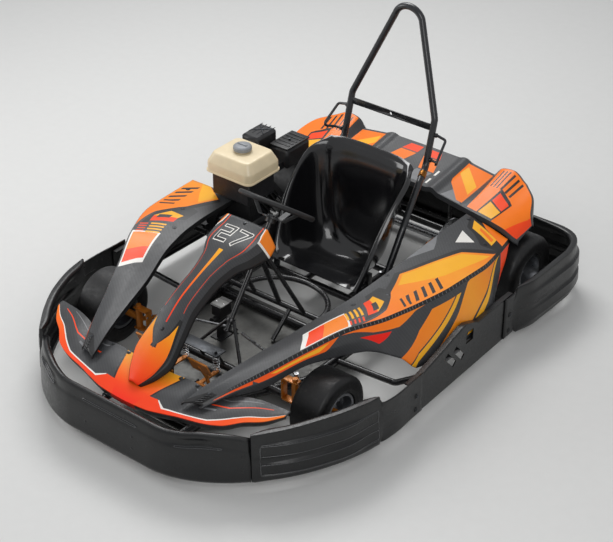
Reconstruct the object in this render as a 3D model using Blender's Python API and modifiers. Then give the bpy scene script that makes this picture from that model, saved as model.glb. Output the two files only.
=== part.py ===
"""Rental racing kart: tube chassis, bumper ring, body panels, engine, wheels, steering and pedals.

Metres, +Z up. +X is the kart's left, -Y its front. The origin is on the floor, under the middle of the
bumper ring. Names that end in _l and _r are the driver's left and right.
"""

import math

import bmesh
import bpy
from mathutils import Matrix, Vector

# Clearances and sheet thicknesses
GAP = 0.0003
RUN = 0.0006
PANEL = 0.0032
BUMPER_WALL = 0.0045

# Overall layout
WHEELBASE = 1.08
FRONT_AXLE_Y = -0.41
REAR_AXLE_Y = FRONT_AXLE_Y + WHEELBASE
FRONT_TRACK = 0.96
REAR_TRACK = 0.98
RING_HALF_WIDTH = 0.677
RING_FRONT_Y = -0.925
RING_REAR_Y = 0.922
RING_BOTTOM = 0.041

# Wheels
FRONT_TYRE_R = 0.1275
FRONT_TYRE_W = 0.125
FRONT_RIM_W = 0.112
REAR_TYRE_R = 0.14
REAR_TYRE_W = 0.18
REAR_RIM_W = 0.162
BEAD_R = 0.0635
RIM_WALL = 0.004
FLANGE_R = BEAD_R + 0.0075
FLANGE_W = 0.004
AXLE_R = 0.015
STUB_R = 0.0085
WHEEL_STEPS = 16

# Chassis tubes. The bumpers' bars are eight-sided, and BAR_FLAT is half their width across the flats.
RAIL_R = 0.015
RAIL_Z = 0.078
RAIL_FRONT_X = 0.165
RAIL_X = 0.30
BAR_R = 0.011
BAR_FLAT = BAR_R * math.cos(math.pi / 8)
SIDE_BAR_Z = 0.155
CROSS_Z = 0.155
CROSS_Y = -0.065
CROSS_TUBE_R = 0.014
BEAM_Z = 0.096
SEAT_TUBE_FRONT = 0.20
SEAT_TUBE_REAR = 0.44
SEAT_TUBE_X = 0.10
NOSE_POST_X = 0.150
REAR_POST_Y = REAR_AXLE_Y + 0.15
HOOP_SEAT_R = 0.010
STRUT_R = 0.008
STRUT_X = 0.092
STRUT_Y = -0.246
STRUT_TOP = 0.478
FOOT_LEG_X = 0.118
PAN_THICKNESS = 0.003

# Steering
KINGPIN_X = 0.35
KINGPIN_R = 0.006
YOKE_HALF = 0.038
YOKE_PLATE = 0.006
BARREL_R = 0.0125
ARM_END_X = 0.295
ARM_END_Y = FRONT_AXLE_Y + 0.075
STEER_RATIO = 0.5
STEER_ELEVATION = math.radians(53.5)
WHEEL_CENTRE = (0.0, -0.074, 0.553)
WHEEL_R = 0.1295
GRIP_R = 0.0095
GRIP_STEPS = 24
WHEEL_DISH = 0.045
COLUMN_R = 0.009
COLUMN_LENGTH = 0.455
TIE_ROD_R = 0.005
BUSH_AT = 0.150

# Rear axle and drive
CHAIN_X = -0.272
SPROCKET_R = 0.093
SPROCKET_TEETH = 22
DRUM_R = 0.034
CRANK_Y = 0.17
CRANK_Z = 0.205
DISC_X = 0.215
DISC_R = 0.092
DISC_THICKNESS = 0.005
BEARING_HALF = 0.012
MASTER_X = -0.115
MASTER_Y = -0.242
MASTER_Z = 0.147

# Engine
ENGINE_X = -0.367
ENGINE_W = 0.140
PLATE_Z = 0.096
TANK_X = -0.354
TANK_Y = 0.163
TANK_W = 0.216
TANK_L = 0.186
TANK_BOTTOM = 0.468
TANK_TOP = 0.545
CAP_R = 0.0335
PORTS_Y = 0.325
AIR_X = -0.368
MUFFLER_X = -0.467

# Roll hoop
HOOP_R = 0.0125
HOOP_APEX_Z = 1.0385
HOOP_PLATE_Y = 0.5755

# Pedals
PEDAL_X = 0.115
PEDAL_PIVOT_Y = -0.565
PEDAL_PIVOT_Z = 0.118
PEDAL_PIN_R = 0.005
SPRING_X = 0.070
SPRING_Y = -0.480
SPRING_LOW = 0.126
SPRING_HIGH = 0.192
SPRING_R = 0.0105
SPRING_WIRE = 0.0016
SPRING_TURNS = 6

ORANGE = (1.0, 0.27, 0.035, 1)
BLACK = (0.018, 0.018, 0.018, 1)
SATIN = (0.03, 0.03, 0.032, 1)
CHARCOAL = (0.08, 0.08, 0.08, 1)
STEEL = (0.45, 0.45, 0.46, 1)
CREAM = (0.88, 0.74, 0.50, 1)


# Scene and object helpers


def clear_scene():
    """Empties the file, so that the kart is all it holds."""
    for obj in list(bpy.data.objects):
        bpy.data.objects.remove(obj, do_unlink=True)


def collection(name, helper=False):
    made = bpy.data.collections.new(name)
    bpy.context.scene.collection.children.link(made)
    made.hide_render = helper
    return made


clear_scene()
PARTS = collection("racing_kart")
CUTTERS = collection("cutters", helper=True)


def material(name, colour, roughness, metallic=0.0):
    made = bpy.data.materials.get(name) or bpy.data.materials.new(name)
    made.use_nodes = True
    made.diffuse_color = colour
    shader = made.node_tree.nodes["Principled BSDF"]
    shader.inputs["Base Color"].default_value = colour
    shader.inputs["Roughness"].default_value = roughness
    shader.inputs["Metallic"].default_value = metallic
    return made


FRAME_PAINT = material("frame_paint", BLACK, 0.4)
PLASTIC = material("bumper_plastic", SATIN, 0.45)
PANEL_PLASTIC = material("panel_plastic", CHARCOAL, 0.45)
GLOSS = material("seat_plastic", BLACK, 0.15)
RUBBER = material("tyre_rubber", SATIN, 0.8)
GRIP = material("grip_rubber", BLACK, 0.6)
METAL = material("bare_steel", STEEL, 0.35, 1.0)
GOLD = material("gold_paint", ORANGE, 0.4)
TANK_PAINT = material("tank_paint", CREAM, 0.35)
ENGINE_PAINT = material("engine_black", SATIN, 0.5)
GREY_PLASTIC = material("grey_plastic", (0.28, 0.29, 0.30, 1), 0.5)


def placed(name, mesh, mat, home=None):
    obj = bpy.data.objects.new(name, mesh)
    (home or PARTS).objects.link(obj)
    mesh.materials.clear()
    mesh.materials.append(mat)
    if home is CUTTERS:
        obj.hide_render = True
        obj.display_type = "WIRE"
    return obj


def smooth(obj, angle=35):
    obj.data.shade_smooth()
    obj.data.set_sharp_from_angle(angle=math.radians(angle))
    return obj


def from_bmesh(name, bm, mat, home=None):
    mesh = bpy.data.meshes.new(name)
    bm.to_mesh(mesh)
    bm.free()
    return placed(name, mesh, mat, home)


def evaluated_mesh(obj):
    bpy.context.view_layer.update()
    graph = bpy.context.evaluated_depsgraph_get()
    return bpy.data.meshes.new_from_object(obj.evaluated_get(graph))


def baked(obj, name=None):
    """A mesh object that holds what obj's curve or modifiers make, with loose caps welded on."""
    mesh = evaluated_mesh(obj)
    bm = bmesh.new()
    bm.from_mesh(mesh)
    bmesh.ops.remove_doubles(bm, verts=bm.verts, dist=1e-5)
    bmesh.ops.transform(bm, matrix=obj.matrix_world, verts=bm.verts)
    bm.to_mesh(mesh)
    bm.free()
    mat = obj.data.materials[0]
    name = name or obj.name
    home = obj.users_collection[0]
    bpy.data.objects.remove(obj, do_unlink=True)
    mesh.name = name
    return placed(name, mesh, mat, home)


def boolean(obj, other, operation):
    modifier = obj.modifiers.new(operation.lower(), "BOOLEAN")
    modifier.operation = operation
    modifier.object = other
    return modifier


def union(name, pieces):
    """One body from pieces that overlap one another."""
    base = pieces[0]
    for other in pieces[1:]:
        boolean(base, other, "UNION")
    joined = baked(base, name + "_whole")
    for other in pieces[1:]:
        bpy.data.objects.remove(other, do_unlink=True)
    joined.name = name
    return smooth(joined)


def cut(obj, cutters):
    """Cuts every cutter out of obj and keeps the name."""
    name = obj.name
    for cutter in cutters:
        boolean(obj, cutter, "DIFFERENCE")
    done = baked(obj, name + "_cut")
    for cutter in cutters:
        bpy.data.objects.remove(cutter, do_unlink=True)
    done.name = name
    return smooth(done)


def origin_at(obj, place):
    """Moves obj's origin to place and leaves its shape where it is."""
    obj.data.transform(Matrix.Translation(-Vector(place)))
    obj.location = place
    return obj


# Shapes


def box(name, size, centre, mat, bevel=0.0, turn=None, home=None):
    bm = bmesh.new()
    bmesh.ops.create_cube(bm, size=1.0, matrix=Matrix.Diagonal((*size, 1.0)))
    if bevel:
        bmesh.ops.bevel(
            bm, geom=bm.edges[:], offset=bevel, segments=1, profile=0.5, affect="EDGES"
        )
    matrix = Matrix.Translation(centre) @ (turn or Matrix.Identity(3)).to_4x4()
    bmesh.ops.transform(bm, matrix=matrix, verts=bm.verts)
    return from_bmesh(name, bm, mat, home)


def cylinder(name, radius, start, end, mat, sides=20, home=None, end_radius=None):
    """A round bar from start to end, tapered where end_radius is given."""
    start, end = Vector(start), Vector(end)
    bm = bmesh.new()
    bmesh.ops.create_cone(
        bm,
        cap_ends=True,
        segments=sides,
        radius1=radius,
        radius2=radius if end_radius is None else end_radius,
        depth=(end - start).length,
    )
    turn = (end - start).to_track_quat("Z", "Y").to_matrix().to_4x4()
    bmesh.ops.transform(
        bm, matrix=Matrix.Translation((start + end) / 2) @ turn, verts=bm.verts
    )
    return smooth(from_bmesh(name, bm, mat, home))


def turned(name, profile, mat, steps, centre, axis="X", home=None):
    """A turned body: profile holds (radius, place along the axis), outer side first, from top to bottom."""
    mesh = bpy.data.meshes.new(name)
    count = len(profile)
    open_ends = profile[0][0] < 1e-6 and profile[-1][0] < 1e-6
    edges = [(i, i + 1) for i in range(count - 1)]
    if not open_ends:
        edges.append((count - 1, 0))
    mesh.from_pydata([(r, 0.0, a) for r, a in profile], edges, [])
    obj = placed(name, mesh, mat, home)
    screw = obj.modifiers.new("turn", "SCREW")
    screw.steps = steps
    screw.render_steps = steps
    screw.use_merge_vertices = True
    screw.merge_threshold = 0.00001
    screw.use_smooth_shade = True
    if axis == "X":
        obj.rotation_euler = (0.0, math.pi / 2, 0.0)
    elif axis == "Y":
        obj.rotation_euler = (-math.pi / 2, 0.0, 0.0)
    obj.location = centre
    return smooth(baked(obj), 40)


def curve_object(name, mat, home=None):
    data = bpy.data.curves.new(name, "CURVE")
    data.dimensions = "3D"
    data.materials.append(mat)
    obj = bpy.data.objects.new(name, data)
    (home or PARTS).objects.link(obj)
    return obj


def tube(name, points, radius, mat, resolution=2, home=None, closed=False):
    obj = curve_object(name, mat, home)
    data = obj.data
    data.bevel_depth = radius
    data.bevel_resolution = resolution
    data.use_fill_caps = not closed
    spline = data.splines.new("POLY")
    spline.points.add(len(points) - 1)
    spline.use_cyclic_u = closed
    for target, point in zip(spline.points, points):
        target.co = (*point, 1.0)
    return smooth(baked(obj), 50)


def rounded(points, radius, steps=3):
    """The polyline's points with each inner corner replaced by an arc."""
    points = [Vector(p) for p in points]
    path = [points[0]]
    for before, corner, after in zip(points, points[1:], points[2:]):
        into = (before - corner).normalized()
        out = (after - corner).normalized()
        bend = math.pi - into.angle(out)
        reach = radius * math.tan(bend / 2)
        centre_way = (into + out).normalized()
        centre = corner + centre_way * (radius / math.cos(bend / 2))
        start = corner + into * reach - centre
        axis = start.cross(corner + out * reach - centre).normalized()
        for i in range(steps + 1):
            path.append(centre + Matrix.Rotation(bend * i / steps, 3, axis) @ start)
    path.append(points[-1])
    return path


def outline_solid(name, points, thickness, mat, centre, turn=None, home=None):
    """A flat plate: a closed outline in its own XY plane, half its thickness to each side."""
    obj = curve_object(name, mat, home)
    data = obj.data
    data.dimensions = "2D"
    data.fill_mode = "BOTH"
    data.extrude = thickness / 2
    spline = data.splines.new("POLY")
    spline.points.add(len(points) - 1)
    spline.use_cyclic_u = True
    for target, (x, y) in zip(spline.points, points):
        target.co = (x, y, 0.0, 1.0)
    obj.matrix_world = Matrix.Translation(centre) @ (turn or Matrix.Identity(3)).to_4x4()
    return baked(obj)


def arc(centre, radius, start, end, steps):
    """Points on an arc, from angle start to angle end in degrees."""
    angles = [math.radians(start + (end - start) * i / steps) for i in range(steps + 1)]
    return [(centre[0] + radius * math.cos(a), centre[1] + radius * math.sin(a)) for a in angles]


def sheet(name, rows, thickness, mat, outward, levels=0, creases=(), offset=-1.0, even=True):
    """A moulded shell: a grid of points skinned, softened, and thickened away from its outer side.

    outward is a direction in which most of the outer side faces. creases lists the rows ("u", i) and
    columns ("v", i) that stay sharp when the sheet is softened. even keeps the wall full at its folds.
    """
    bm = bmesh.new()
    grid = [[bm.verts.new(p) for p in row] for row in rows]
    for r in range(len(rows) - 1):
        for c in range(len(rows[0]) - 1):
            bm.faces.new((grid[r][c], grid[r + 1][c], grid[r + 1][c + 1], grid[r][c + 1]))
    bm.normal_update()
    facing = sum((f.normal * f.calc_area() for f in bm.faces), Vector())
    if facing.dot(Vector(outward)) < 0:
        bmesh.ops.reverse_faces(bm, faces=bm.faces)
    if creases:
        layer = bm.edges.layers.float.new("crease_edge")
        for kind, index in creases:
            if kind == "u":
                line = grid[index]
            else:
                line = [row[index] for row in grid]
            for a, b in zip(line, line[1:]):
                bm.edges.get((a, b))[layer] = 1.0
    obj = from_bmesh(name, bm, mat)
    if levels:
        soften = obj.modifiers.new("soften", "SUBSURF")
        soften.levels = levels
        soften.render_levels = levels
        soften.boundary_smooth = "PRESERVE_CORNERS"
    wall = obj.modifiers.new("wall", "SOLIDIFY")
    wall.thickness = thickness
    wall.offset = offset
    wall.use_even_offset = even
    wall.use_rim = True
    return smooth(baked(obj), 30)


def steer_basis():
    """Unit vectors up the column, across it (the kart's left), and square to both (rearward and down)."""
    up = Vector((0.0, math.cos(STEER_ELEVATION), math.sin(STEER_ELEVATION)))
    left = Vector((1.0, 0.0, 0.0))
    return up, left, left.cross(up) * -1.0


def column_point(distance):
    """A point on the column's axis, this far below the steering wheel's centre."""
    return Vector(WHEEL_CENTRE) - steer_basis()[0] * distance


def rail_x(y):
    """Half the spread of the main rails at y."""
    narrow, wide = FRONT_AXLE_Y - 0.11, FRONT_AXLE_Y + 0.13
    share = min(1.0, max(0.0, (y - narrow) / (wide - narrow)))
    return RAIL_FRONT_X + (RAIL_X - RAIL_FRONT_X) * share


def facing_height(obj, x, y, upward):
    """The height at which a vertical ray first meets obj, from below where upward is true, else from above."""
    bpy.context.view_layer.update()
    start, way = (-1.0, 1.0) if upward else (2.0, -1.0)
    hit, place, _, _ = obj.ray_cast((x, y, start), (0.0, 0.0, way))
    if not hit:
        raise ValueError(f"nothing of {obj.name} lies over {x:.3f}, {y:.3f}")
    return place.z


def underside(obj, x, y, reach=0.0):
    """The lowest height of obj's underside within reach of a point."""
    steps = (-reach, 0.0, reach) if reach else (0.0,)
    return min(facing_height(obj, x + dx, y + dy, True) for dx in steps for dy in steps)


# Chassis


def yoke(side):
    """The welded C bracket that holds a kingpin."""
    x = side * KINGPIN_X
    back_x = side * (KINGPIN_X - 0.047)
    z = FRONT_TYRE_R
    pieces = [
        box("yoke_back", (YOKE_PLATE, 0.028, 2 * YOKE_HALF + 2 * YOKE_PLATE), (back_x, FRONT_AXLE_Y, z), GOLD)
    ]
    for level in (-1, 1):
        middle = (x + back_x) / 2 + side * 0.006
        ear_z = z + level * (YOKE_HALF + YOKE_PLATE / 2)
        length = abs(x - back_x) + 0.018
        pieces.append(box("yoke_ear", (length, 0.028, YOKE_PLATE), (middle, FRONT_AXLE_Y, ear_z), GOLD))
    return pieces


def chassis_tubes():
    """Rails and cross tubes as (points, radius)."""
    runs = []
    front_end, rear_end = FRONT_AXLE_Y - 0.36, REAR_AXLE_Y + 0.17
    for s in (-1, 1):
        path = [
            (s * RAIL_FRONT_X, front_end, RAIL_Z),
            (s * RAIL_FRONT_X, FRONT_AXLE_Y - 0.11, RAIL_Z),
            (s * RAIL_X, FRONT_AXLE_Y + 0.13, RAIL_Z),
            (s * RAIL_X, rear_end, RAIL_Z),
        ]
        runs.append((rounded(path, 0.09, 2), RAIL_R))
    for y in (FRONT_AXLE_Y - 0.30, PEDAL_PIVOT_Y, FRONT_AXLE_Y + 0.37, SEAT_TUBE_FRONT, SEAT_TUBE_REAR, REAR_POST_Y):
        runs.append(([(-rail_x(y), y, RAIL_Z), (rail_x(y), y, RAIL_Z)], CROSS_TUBE_R))
    beam = KINGPIN_X - 0.046
    runs.append(([(-beam, FRONT_AXLE_Y, BEAM_Z), (beam, FRONT_AXLE_Y, BEAM_Z)], CROSS_TUBE_R))
    for s in (-1, 1):
        ends = [(s * SEAT_TUBE_X, y, RAIL_Z) for y in (SEAT_TUBE_FRONT, SEAT_TUBE_REAR)]
        runs.append((ends, BAR_R))
    return runs


def steering_supports():
    """The raised cross bar, the hoop behind it and the struts up to the column bush."""
    runs = []
    edge = RAIL_X - 0.035
    bar = [
        (-RAIL_X, CROSS_Y, RAIL_Z),
        (-edge, CROSS_Y, CROSS_Z),
        (edge, CROSS_Y, CROSS_Z),
        (RAIL_X, CROSS_Y, RAIL_Z),
    ]
    runs.append((rounded(bar, 0.03, 2), BAR_R))
    half, depth = 0.176, 0.155
    sweep = [math.pi * i / 9 for i in range(10)]
    hoop = [(-half * math.cos(a), CROSS_Y + 0.004 + depth * math.sin(a), CROSS_Z) for a in sweep]
    runs.append((hoop, HOOP_SEAT_R))
    bush = column_point(BUSH_AT)
    runs.append(([(0.0, CROSS_Y, CROSS_Z), (0.0, bush.y - 0.012, bush.z - 0.010)], 0.009))
    for s in (-1, 1):
        runs.append(([(s * 0.112, CROSS_Y, CROSS_Z), (s * STRUT_X, STRUT_Y, STRUT_TOP)], STRUT_R))
    runs.append(([(0.05, CROSS_Y, CROSS_Z), (0.05, -0.165, 0.070)], 0.008))
    return runs


def posts(nose, cover, seat_shell):
    """Uprights under the nose and the rear cover, and the blocks that the seat is bolted to."""
    pieces = []
    for s in (-1, 1):
        y = FRONT_AXLE_Y - 0.30
        top = underside(nose, s * NOSE_POST_X, y, 0.007) - GAP
        pieces.append(cylinder("nose_post", 0.007, (s * NOSE_POST_X, y, RAIL_Z), (s * NOSE_POST_X, y, top), FRAME_PAINT, 8))
        x = s * 0.12
        top = underside(cover, x, REAR_POST_Y, 0.008) - GAP
        pieces.append(cylinder("cover_post", 0.008, (x, REAR_POST_Y, RAIL_Z), (x, REAR_POST_Y, top), FRAME_PAINT, 8))
        y = (SEAT_TUBE_FRONT + SEAT_TUBE_REAR) / 2
        top = underside(seat_shell, s * SEAT_TUBE_X, y, 0.012) - GAP
        size = (0.024, 0.024, top - RAIL_Z)
        pieces.append(box("seat_block", size, (s * SEAT_TUBE_X, y, (top + RAIL_Z) / 2), FRAME_PAINT))
    return pieces


def spring_plate():
    """The plate over the pedals' return springs, on two legs from the axle beam."""
    z = SPRING_HIGH + GAP + 0.002
    pieces = [box("spring_plate", (2 * SPRING_X + 0.030, 0.050, 0.004), (0.0, SPRING_Y + 0.008, z), METAL)]
    for s in (-1, 1):
        leg = [(s * 0.045, FRONT_AXLE_Y, BEAM_Z), (s * 0.045, SPRING_Y + 0.018, z)]
        pieces.append(tube("plate_leg", leg, 0.005, METAL, 1))
    return pieces


def pedal_ears():
    """Four upright lugs on the front cross tube, which hold the pedals' pins."""
    pieces = []
    for x in (PEDAL_X + 0.030, SPRING_X - 0.014):
        for s in (-1, 1):
            size = (0.004, 0.024, PEDAL_PIVOT_Z + 0.012 - RAIL_Z)
            centre = (s * x, PEDAL_PIVOT_Y, (PEDAL_PIVOT_Z + 0.012 + RAIL_Z) / 2)
            pieces.append(box("pedal_ear", size, centre, FRAME_PAINT))
    return pieces


def engine_plate():
    """The shelf beside the right rail, on two outriggers."""
    y0, y1 = CRANK_Y - 0.13, CRANK_Y + 0.15
    x0, x1 = ENGINE_X - 0.10, -RAIL_X + 0.004
    size = (x1 - x0, y1 - y0, 0.008)
    pieces = [box("engine_plate", size, ((x0 + x1) / 2, (y0 + y1) / 2, PLATE_Z - 0.004), FRAME_PAINT)]
    for y in (y0 + 0.05, y1 - 0.05):
        ends = [(-RAIL_X, y, RAIL_Z + 0.002), (x0 + 0.01, y, RAIL_Z + 0.002)]
        pieces.append(tube("outrigger", ends, RAIL_R * 0.8, FRAME_PAINT, 1))
    return pieces


def chassis(nose, cover, seat_shell):
    pieces = []
    for points, radius in chassis_tubes() + steering_supports():
        pieces.append(tube("frame_tube", points, radius, FRAME_PAINT, 2 if radius == RAIL_R else 1))
    pieces += posts(nose, cover, seat_shell) + spring_plate() + pedal_ears()
    for side in (-1, 1):
        pieces += yoke(side)
    pieces += engine_plate()
    bush = column_point(BUSH_AT)
    up = steer_basis()[0]
    housing = cylinder("bush", COLUMN_R + 0.0075, bush - up * 0.016, bush + up * 0.016, FRAME_PAINT, 16)
    pieces.append(housing)
    foot = column_point(COLUMN_LENGTH - 0.035)
    low_bush = cylinder("bush", COLUMN_R + 0.007, foot - up * 0.008, foot + up * 0.008, FRAME_PAINT, 16)
    pieces.append(low_bush)
    for s in (-1, 1):
        leg = [(s * 0.014, foot.y, foot.z), (s * FOOT_LEG_X, FRONT_AXLE_Y, BEAM_Z)]
        pieces.append(tube("foot_leg", leg, 0.006, FRAME_PAINT, 1))
    frame = union("chassis_frame", pieces)
    bore_r = COLUMN_R + GAP * 2
    cutters = [
        cylinder("column_bore", bore_r, column_point(0.05), column_point(COLUMN_LENGTH + 0.02), METAL, 16, CUTTERS)
    ]
    for s in (-1, 1):
        x, z = s * KINGPIN_X, FRONT_TYRE_R
        low, high = (x, FRONT_AXLE_Y, z - 0.06), (x, FRONT_AXLE_Y, z + 0.06)
        cutters.append(cylinder("pin_bore", KINGPIN_R + RUN, low, high, METAL, 10, CUTTERS))
    y, z = PEDAL_PIVOT_Y, PEDAL_PIVOT_Z
    for s in (-1, 1):
        ends = (s * (SPRING_X - 0.03), y, z), (s * (PEDAL_X + 0.05), y, z)
        cutters.append(cylinder("pedal_bore", PEDAL_PIN_R + RUN * 1.4, *ends, METAL, 8, CUTTERS))
    return cut(frame, cutters)


def floor_pan():
    """A flat aluminium tray under the rails, from the front cross tube to the seat."""
    z = RAIL_Z - RAIL_R - GAP - PAN_THICKNESS / 2
    front, rear = FRONT_AXLE_Y - 0.33, FRONT_AXLE_Y + 0.42
    wide_y = FRONT_AXLE_Y + 0.15
    narrow, wide = RAIL_FRONT_X + 0.012, RAIL_X + 0.010
    half = [(narrow, front + 0.02), (narrow, FRONT_AXLE_Y - 0.10), (wide, wide_y), (wide, rear)]
    points = half + [(-x, y) for x, y in reversed(half)]
    points += [(-narrow + 0.02, front), (narrow - 0.02, front)]
    return outline_solid("floor_pan", points, PAN_THICKNESS, METAL, (0.0, 0.0, z))


# Bumper ring


def superellipse(centre, size, power, start, end, steps):
    """Points of a rounded corner, from angle start to angle end in degrees, 0 at the side, 90 at the end."""
    points = []
    for i in range(steps + 1):
        a = math.radians(start + (end - start) * i / steps)
        x = centre[0] + size[0] * max(0.0, math.cos(a)) ** (2 / power)
        y = centre[1] + size[1] * max(0.0, math.sin(a)) ** (2 / power)
        points.append((x, y))
    return points


FRONT_CORNER = (0.17, -0.29)
REAR_CORNER = (0.40, 0.55)
REAR_HALF_WIDTH = 0.695
SIDE_FRONT_X = 0.668
SIDE_REAR_X = 0.653


def front_corner_path(start, end, steps):
    size = (RING_HALF_WIDTH - FRONT_CORNER[0], FRONT_CORNER[1] - RING_FRONT_Y)
    arc_points = superellipse((0.0, 0.0), size, 1.8, start, end, steps)
    return [(FRONT_CORNER[0] + x, FRONT_CORNER[1] - y) for x, y in arc_points]


def rear_corner_path(start, end, steps):
    size = (REAR_HALF_WIDTH - REAR_CORNER[0], RING_REAR_Y - REAR_CORNER[1])
    return superellipse(REAR_CORNER, size, 4.5, start, end, steps)


def path_normals(path):
    normals = []
    for i in range(len(path)):
        a = Vector(path[max(0, i - 1)])
        b = Vector(path[min(len(path) - 1, i + 1)])
        along = (b - a).normalized()
        normals.append(Vector((along.y, -along.x)))
    return normals


def swept(name, stations, side, outward):
    """A bumper moulding: each station is a plan point and its section of (outward offset, height) points."""
    normals = path_normals([point for point, _ in stations])
    rows = []
    for (point, section), normal in zip(stations, normals):
        rows.append([(side * (point[0] + normal.x * out), point[1] + normal.y * out, z) for out, z in section])
    return sheet(name, rows, BUMPER_WALL, PLASTIC, outward, even=False)


def shares(path):
    """How far along the path each of its points lies, from 0 to 1."""
    lengths = [0.0]
    for a, b in zip(path, path[1:]):
        lengths.append(lengths[-1] + (Vector(b) - Vector(a)).length)
    return [run / lengths[-1] for run in lengths]


def flange(offset, low, high, count=13):
    """A flat upright strip with as many points as the section that it continues."""
    return [(offset, high + (low - high) * i / (count - 1)) for i in range(count)]


def ramp(share, start, end, fade=0.06):
    """1 between start and end, 0 outside, with a short slope at each side."""
    rise = min(1.0, max(0.0, (share - start) / fade))
    fall = min(1.0, max(0.0, (end - share) / fade))
    return min(rise, fall)


def mix(share, stops):
    """Piecewise-linear value at share, from (share, value) stops."""
    for (s0, v0), (s1, v1) in zip(stops, stops[1:]):
        if share <= s1:
            return v0 + (v1 - v0) * max(0.0, (share - s0)) / (s1 - s0)
    return stops[-1][1]


def front_section(share):
    """share runs from the right end of the front bumper to the left end."""
    off_centre = abs(2 * share - 1)
    stops = [(0, 0.2275), (0.2, 0.2265), (0.36, 0.206), (0.52, 0.208), (0.74, 0.221), (0.9, 0.212), (1, 0.196)]
    top = mix(off_centre, stops)
    groove = 0.007 * max(ramp(off_centre, -1, 0.24), ramp(off_centre, 0.52, 0.80))
    lip = -0.042
    return [
        (lip, top - 0.012),
        (lip + 0.012, top),
        (-0.020, top - 0.002),
        (-0.016, top - 0.012),
        (-0.014 - groove, top - 0.026),
        (-0.012 - groove, top - 0.040),
        (-0.009, top - 0.048),
        (-0.002, RING_BOTTOM + 0.050),
        (0.0, RING_BOTTOM + 0.010),
        (-0.006, RING_BOTTOM),
        (-0.030, RING_BOTTOM),
    ]


def corner_section(top, rib, roll=1.0):
    """A corner moulding's section: a rolled top, two broad ribs that stand out by rib, and a bottom lip.

    roll is the share of its full depth that the rolled top keeps. It runs out towards the closed ends.
    """
    return [
        (-0.010 - 0.028 * roll, top - 0.013 * roll),
        (-0.010 - 0.017 * roll, top),
        (-0.010, top),
        (-0.006, 0.188),
        (-0.006 + rib, 0.178),
        (-0.004 + rib, 0.140),
        (-0.004, 0.131),
        (-0.003, 0.117),
        (-0.003 + rib, 0.108),
        (-0.001 + rib, 0.072),
        (0.0, 0.061),
        (-0.006, RING_BOTTOM),
        (-0.028, RING_BOTTOM),
    ]


FRONT_SEAM = 52.0
ROLL_END = 0.2


def front_bumper():
    half = front_corner_path(FRONT_SEAM, 90, 5)
    path = [(-x, y) for x, y in half] + [(x, y) for x, y in reversed(half)]
    stations = [(point, front_section(share)) for point, share in zip(path, shares(path))]
    return swept("front_bumper", stations, 1, (0, -1, 0))


def front_corner_bumper(side):
    """From a flange tucked behind the front bumper's end to one that laps over the side bumper."""
    tucked = flange(-0.021, 0.052, 0.172)
    lapped = flange(-0.004, 0.050, 0.206)
    low = flange(0.0, 0.050, 0.200)
    lap = BUMPER_WALL + GAP * 2
    stations = [(front_corner_path(a, a + 1, 1)[0], tucked) for a in (56.5, FRONT_SEAM - 0.17)]
    angles = [FRONT_SEAM - 0.65, 47.5, 39, 30, 20.5, 13.5, 9.2]
    tops = [(0, 0.2215), (0.35, 0.230), (0.6, 0.236), (0.9, 0.231), (1, 0.229)]
    path = [front_corner_path(a, a + 1, 1)[0] for a in angles]
    for point, share in zip(path, shares(path)):
        rib = 0.009 * ramp(share, 0.06, 0.86, 0.07)
        roll = mix(share, [(0, 0.35), (0.05, 1), (0.95, 1), (1, ROLL_END)])
        stations.append((point, corner_section(mix(share, tops), rib, roll)))
    stations.append((front_corner_path(8.4, 10, 1)[0], lapped))
    for point in ((0.6765, -0.28), (side_x(-0.20) + lap, -0.20), (side_x(-0.146) + lap, -0.146)):
        stations.append((point, low))
    return swept("front_corner_bumper" + suffix(side), stations, side, (side, -0.6, 0))


def side_x(y):
    """Outer face of the side bumper at y."""
    y0, y1 = -0.215, 0.425
    return SIDE_FRONT_X + (SIDE_REAR_X - SIDE_FRONT_X) * (y - y0) / (y1 - y0)


def side_bumper(side):
    tops = {
        -0.215: 0.186,
        -0.15: 0.188,
        -0.02: 0.214,
        0.09: 0.240,
        0.118: 0.243,
        0.16: 0.228,
        0.20: 0.210,
        0.32: 0.212,
        0.425: 0.208,
    }
    stations = []
    for y, top in tops.items():
        section = [
            (-0.022, top),
            (-0.004, top),
            (0.0, top - 0.006),
            (0.0, RING_BOTTOM + 0.006),
            (-0.006, RING_BOTTOM),
            (-0.022, RING_BOTTOM),
        ]
        stations.append(((side_x(y), y), section))
    plate = swept("side_bumper" + suffix(side), stations, side, (side, 0, 0))
    cutters = []
    x = side * side_x(0.1)
    lean = math.atan2(0.060, 0.066)
    for y in (0.0, 0.052):
        turn = Matrix.Rotation(lean, 3, "X")
        cutters.append(box("slot", (0.06, 0.024, 0.082), (x, y + 0.026, 0.150), METAL, 0, turn, CUTTERS))
    cutters.append(box("square_hole", (0.06, 0.044, 0.044), (x, 0.143, 0.184), METAL, 0, None, CUTTERS))
    return cut(plate, cutters)


def rear_corner_bumper(side):
    """From a flange that laps over the side bumper, round the corner, to one over the rear bumper."""
    lap = BUMPER_WALL + GAP * 2
    low = flange(0.0, 0.050, 0.210)
    inner = flange(0.0, 0.056, 0.194)
    stations = [((side_x(y) + lap, y), low) for y in (0.365, 0.427)]
    path = [(0.667, 0.4400), (0.688, 0.530)] + rear_corner_path(14, 76, 5) + [(0.4210, RING_REAR_Y)]
    tops = [(0, 0.226), (0.5, 0.229), (1, 0.222)]
    for point, share in zip(path, shares(path)):
        rib = 0.009 * ramp(share, 0.10, 0.90, 0.07)
        roll = mix(share, [(0, ROLL_END), (0.05, 1), (0.95, 1), (1, ROLL_END)])
        stations.append((point, corner_section(mix(share, tops), rib, roll)))
    stations += [((x, RING_REAR_Y), inner) for x in (0.4120, 0.36)]
    return swept("rear_corner_bumper" + suffix(side), stations, side, (side, 0.6, 0))


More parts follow.
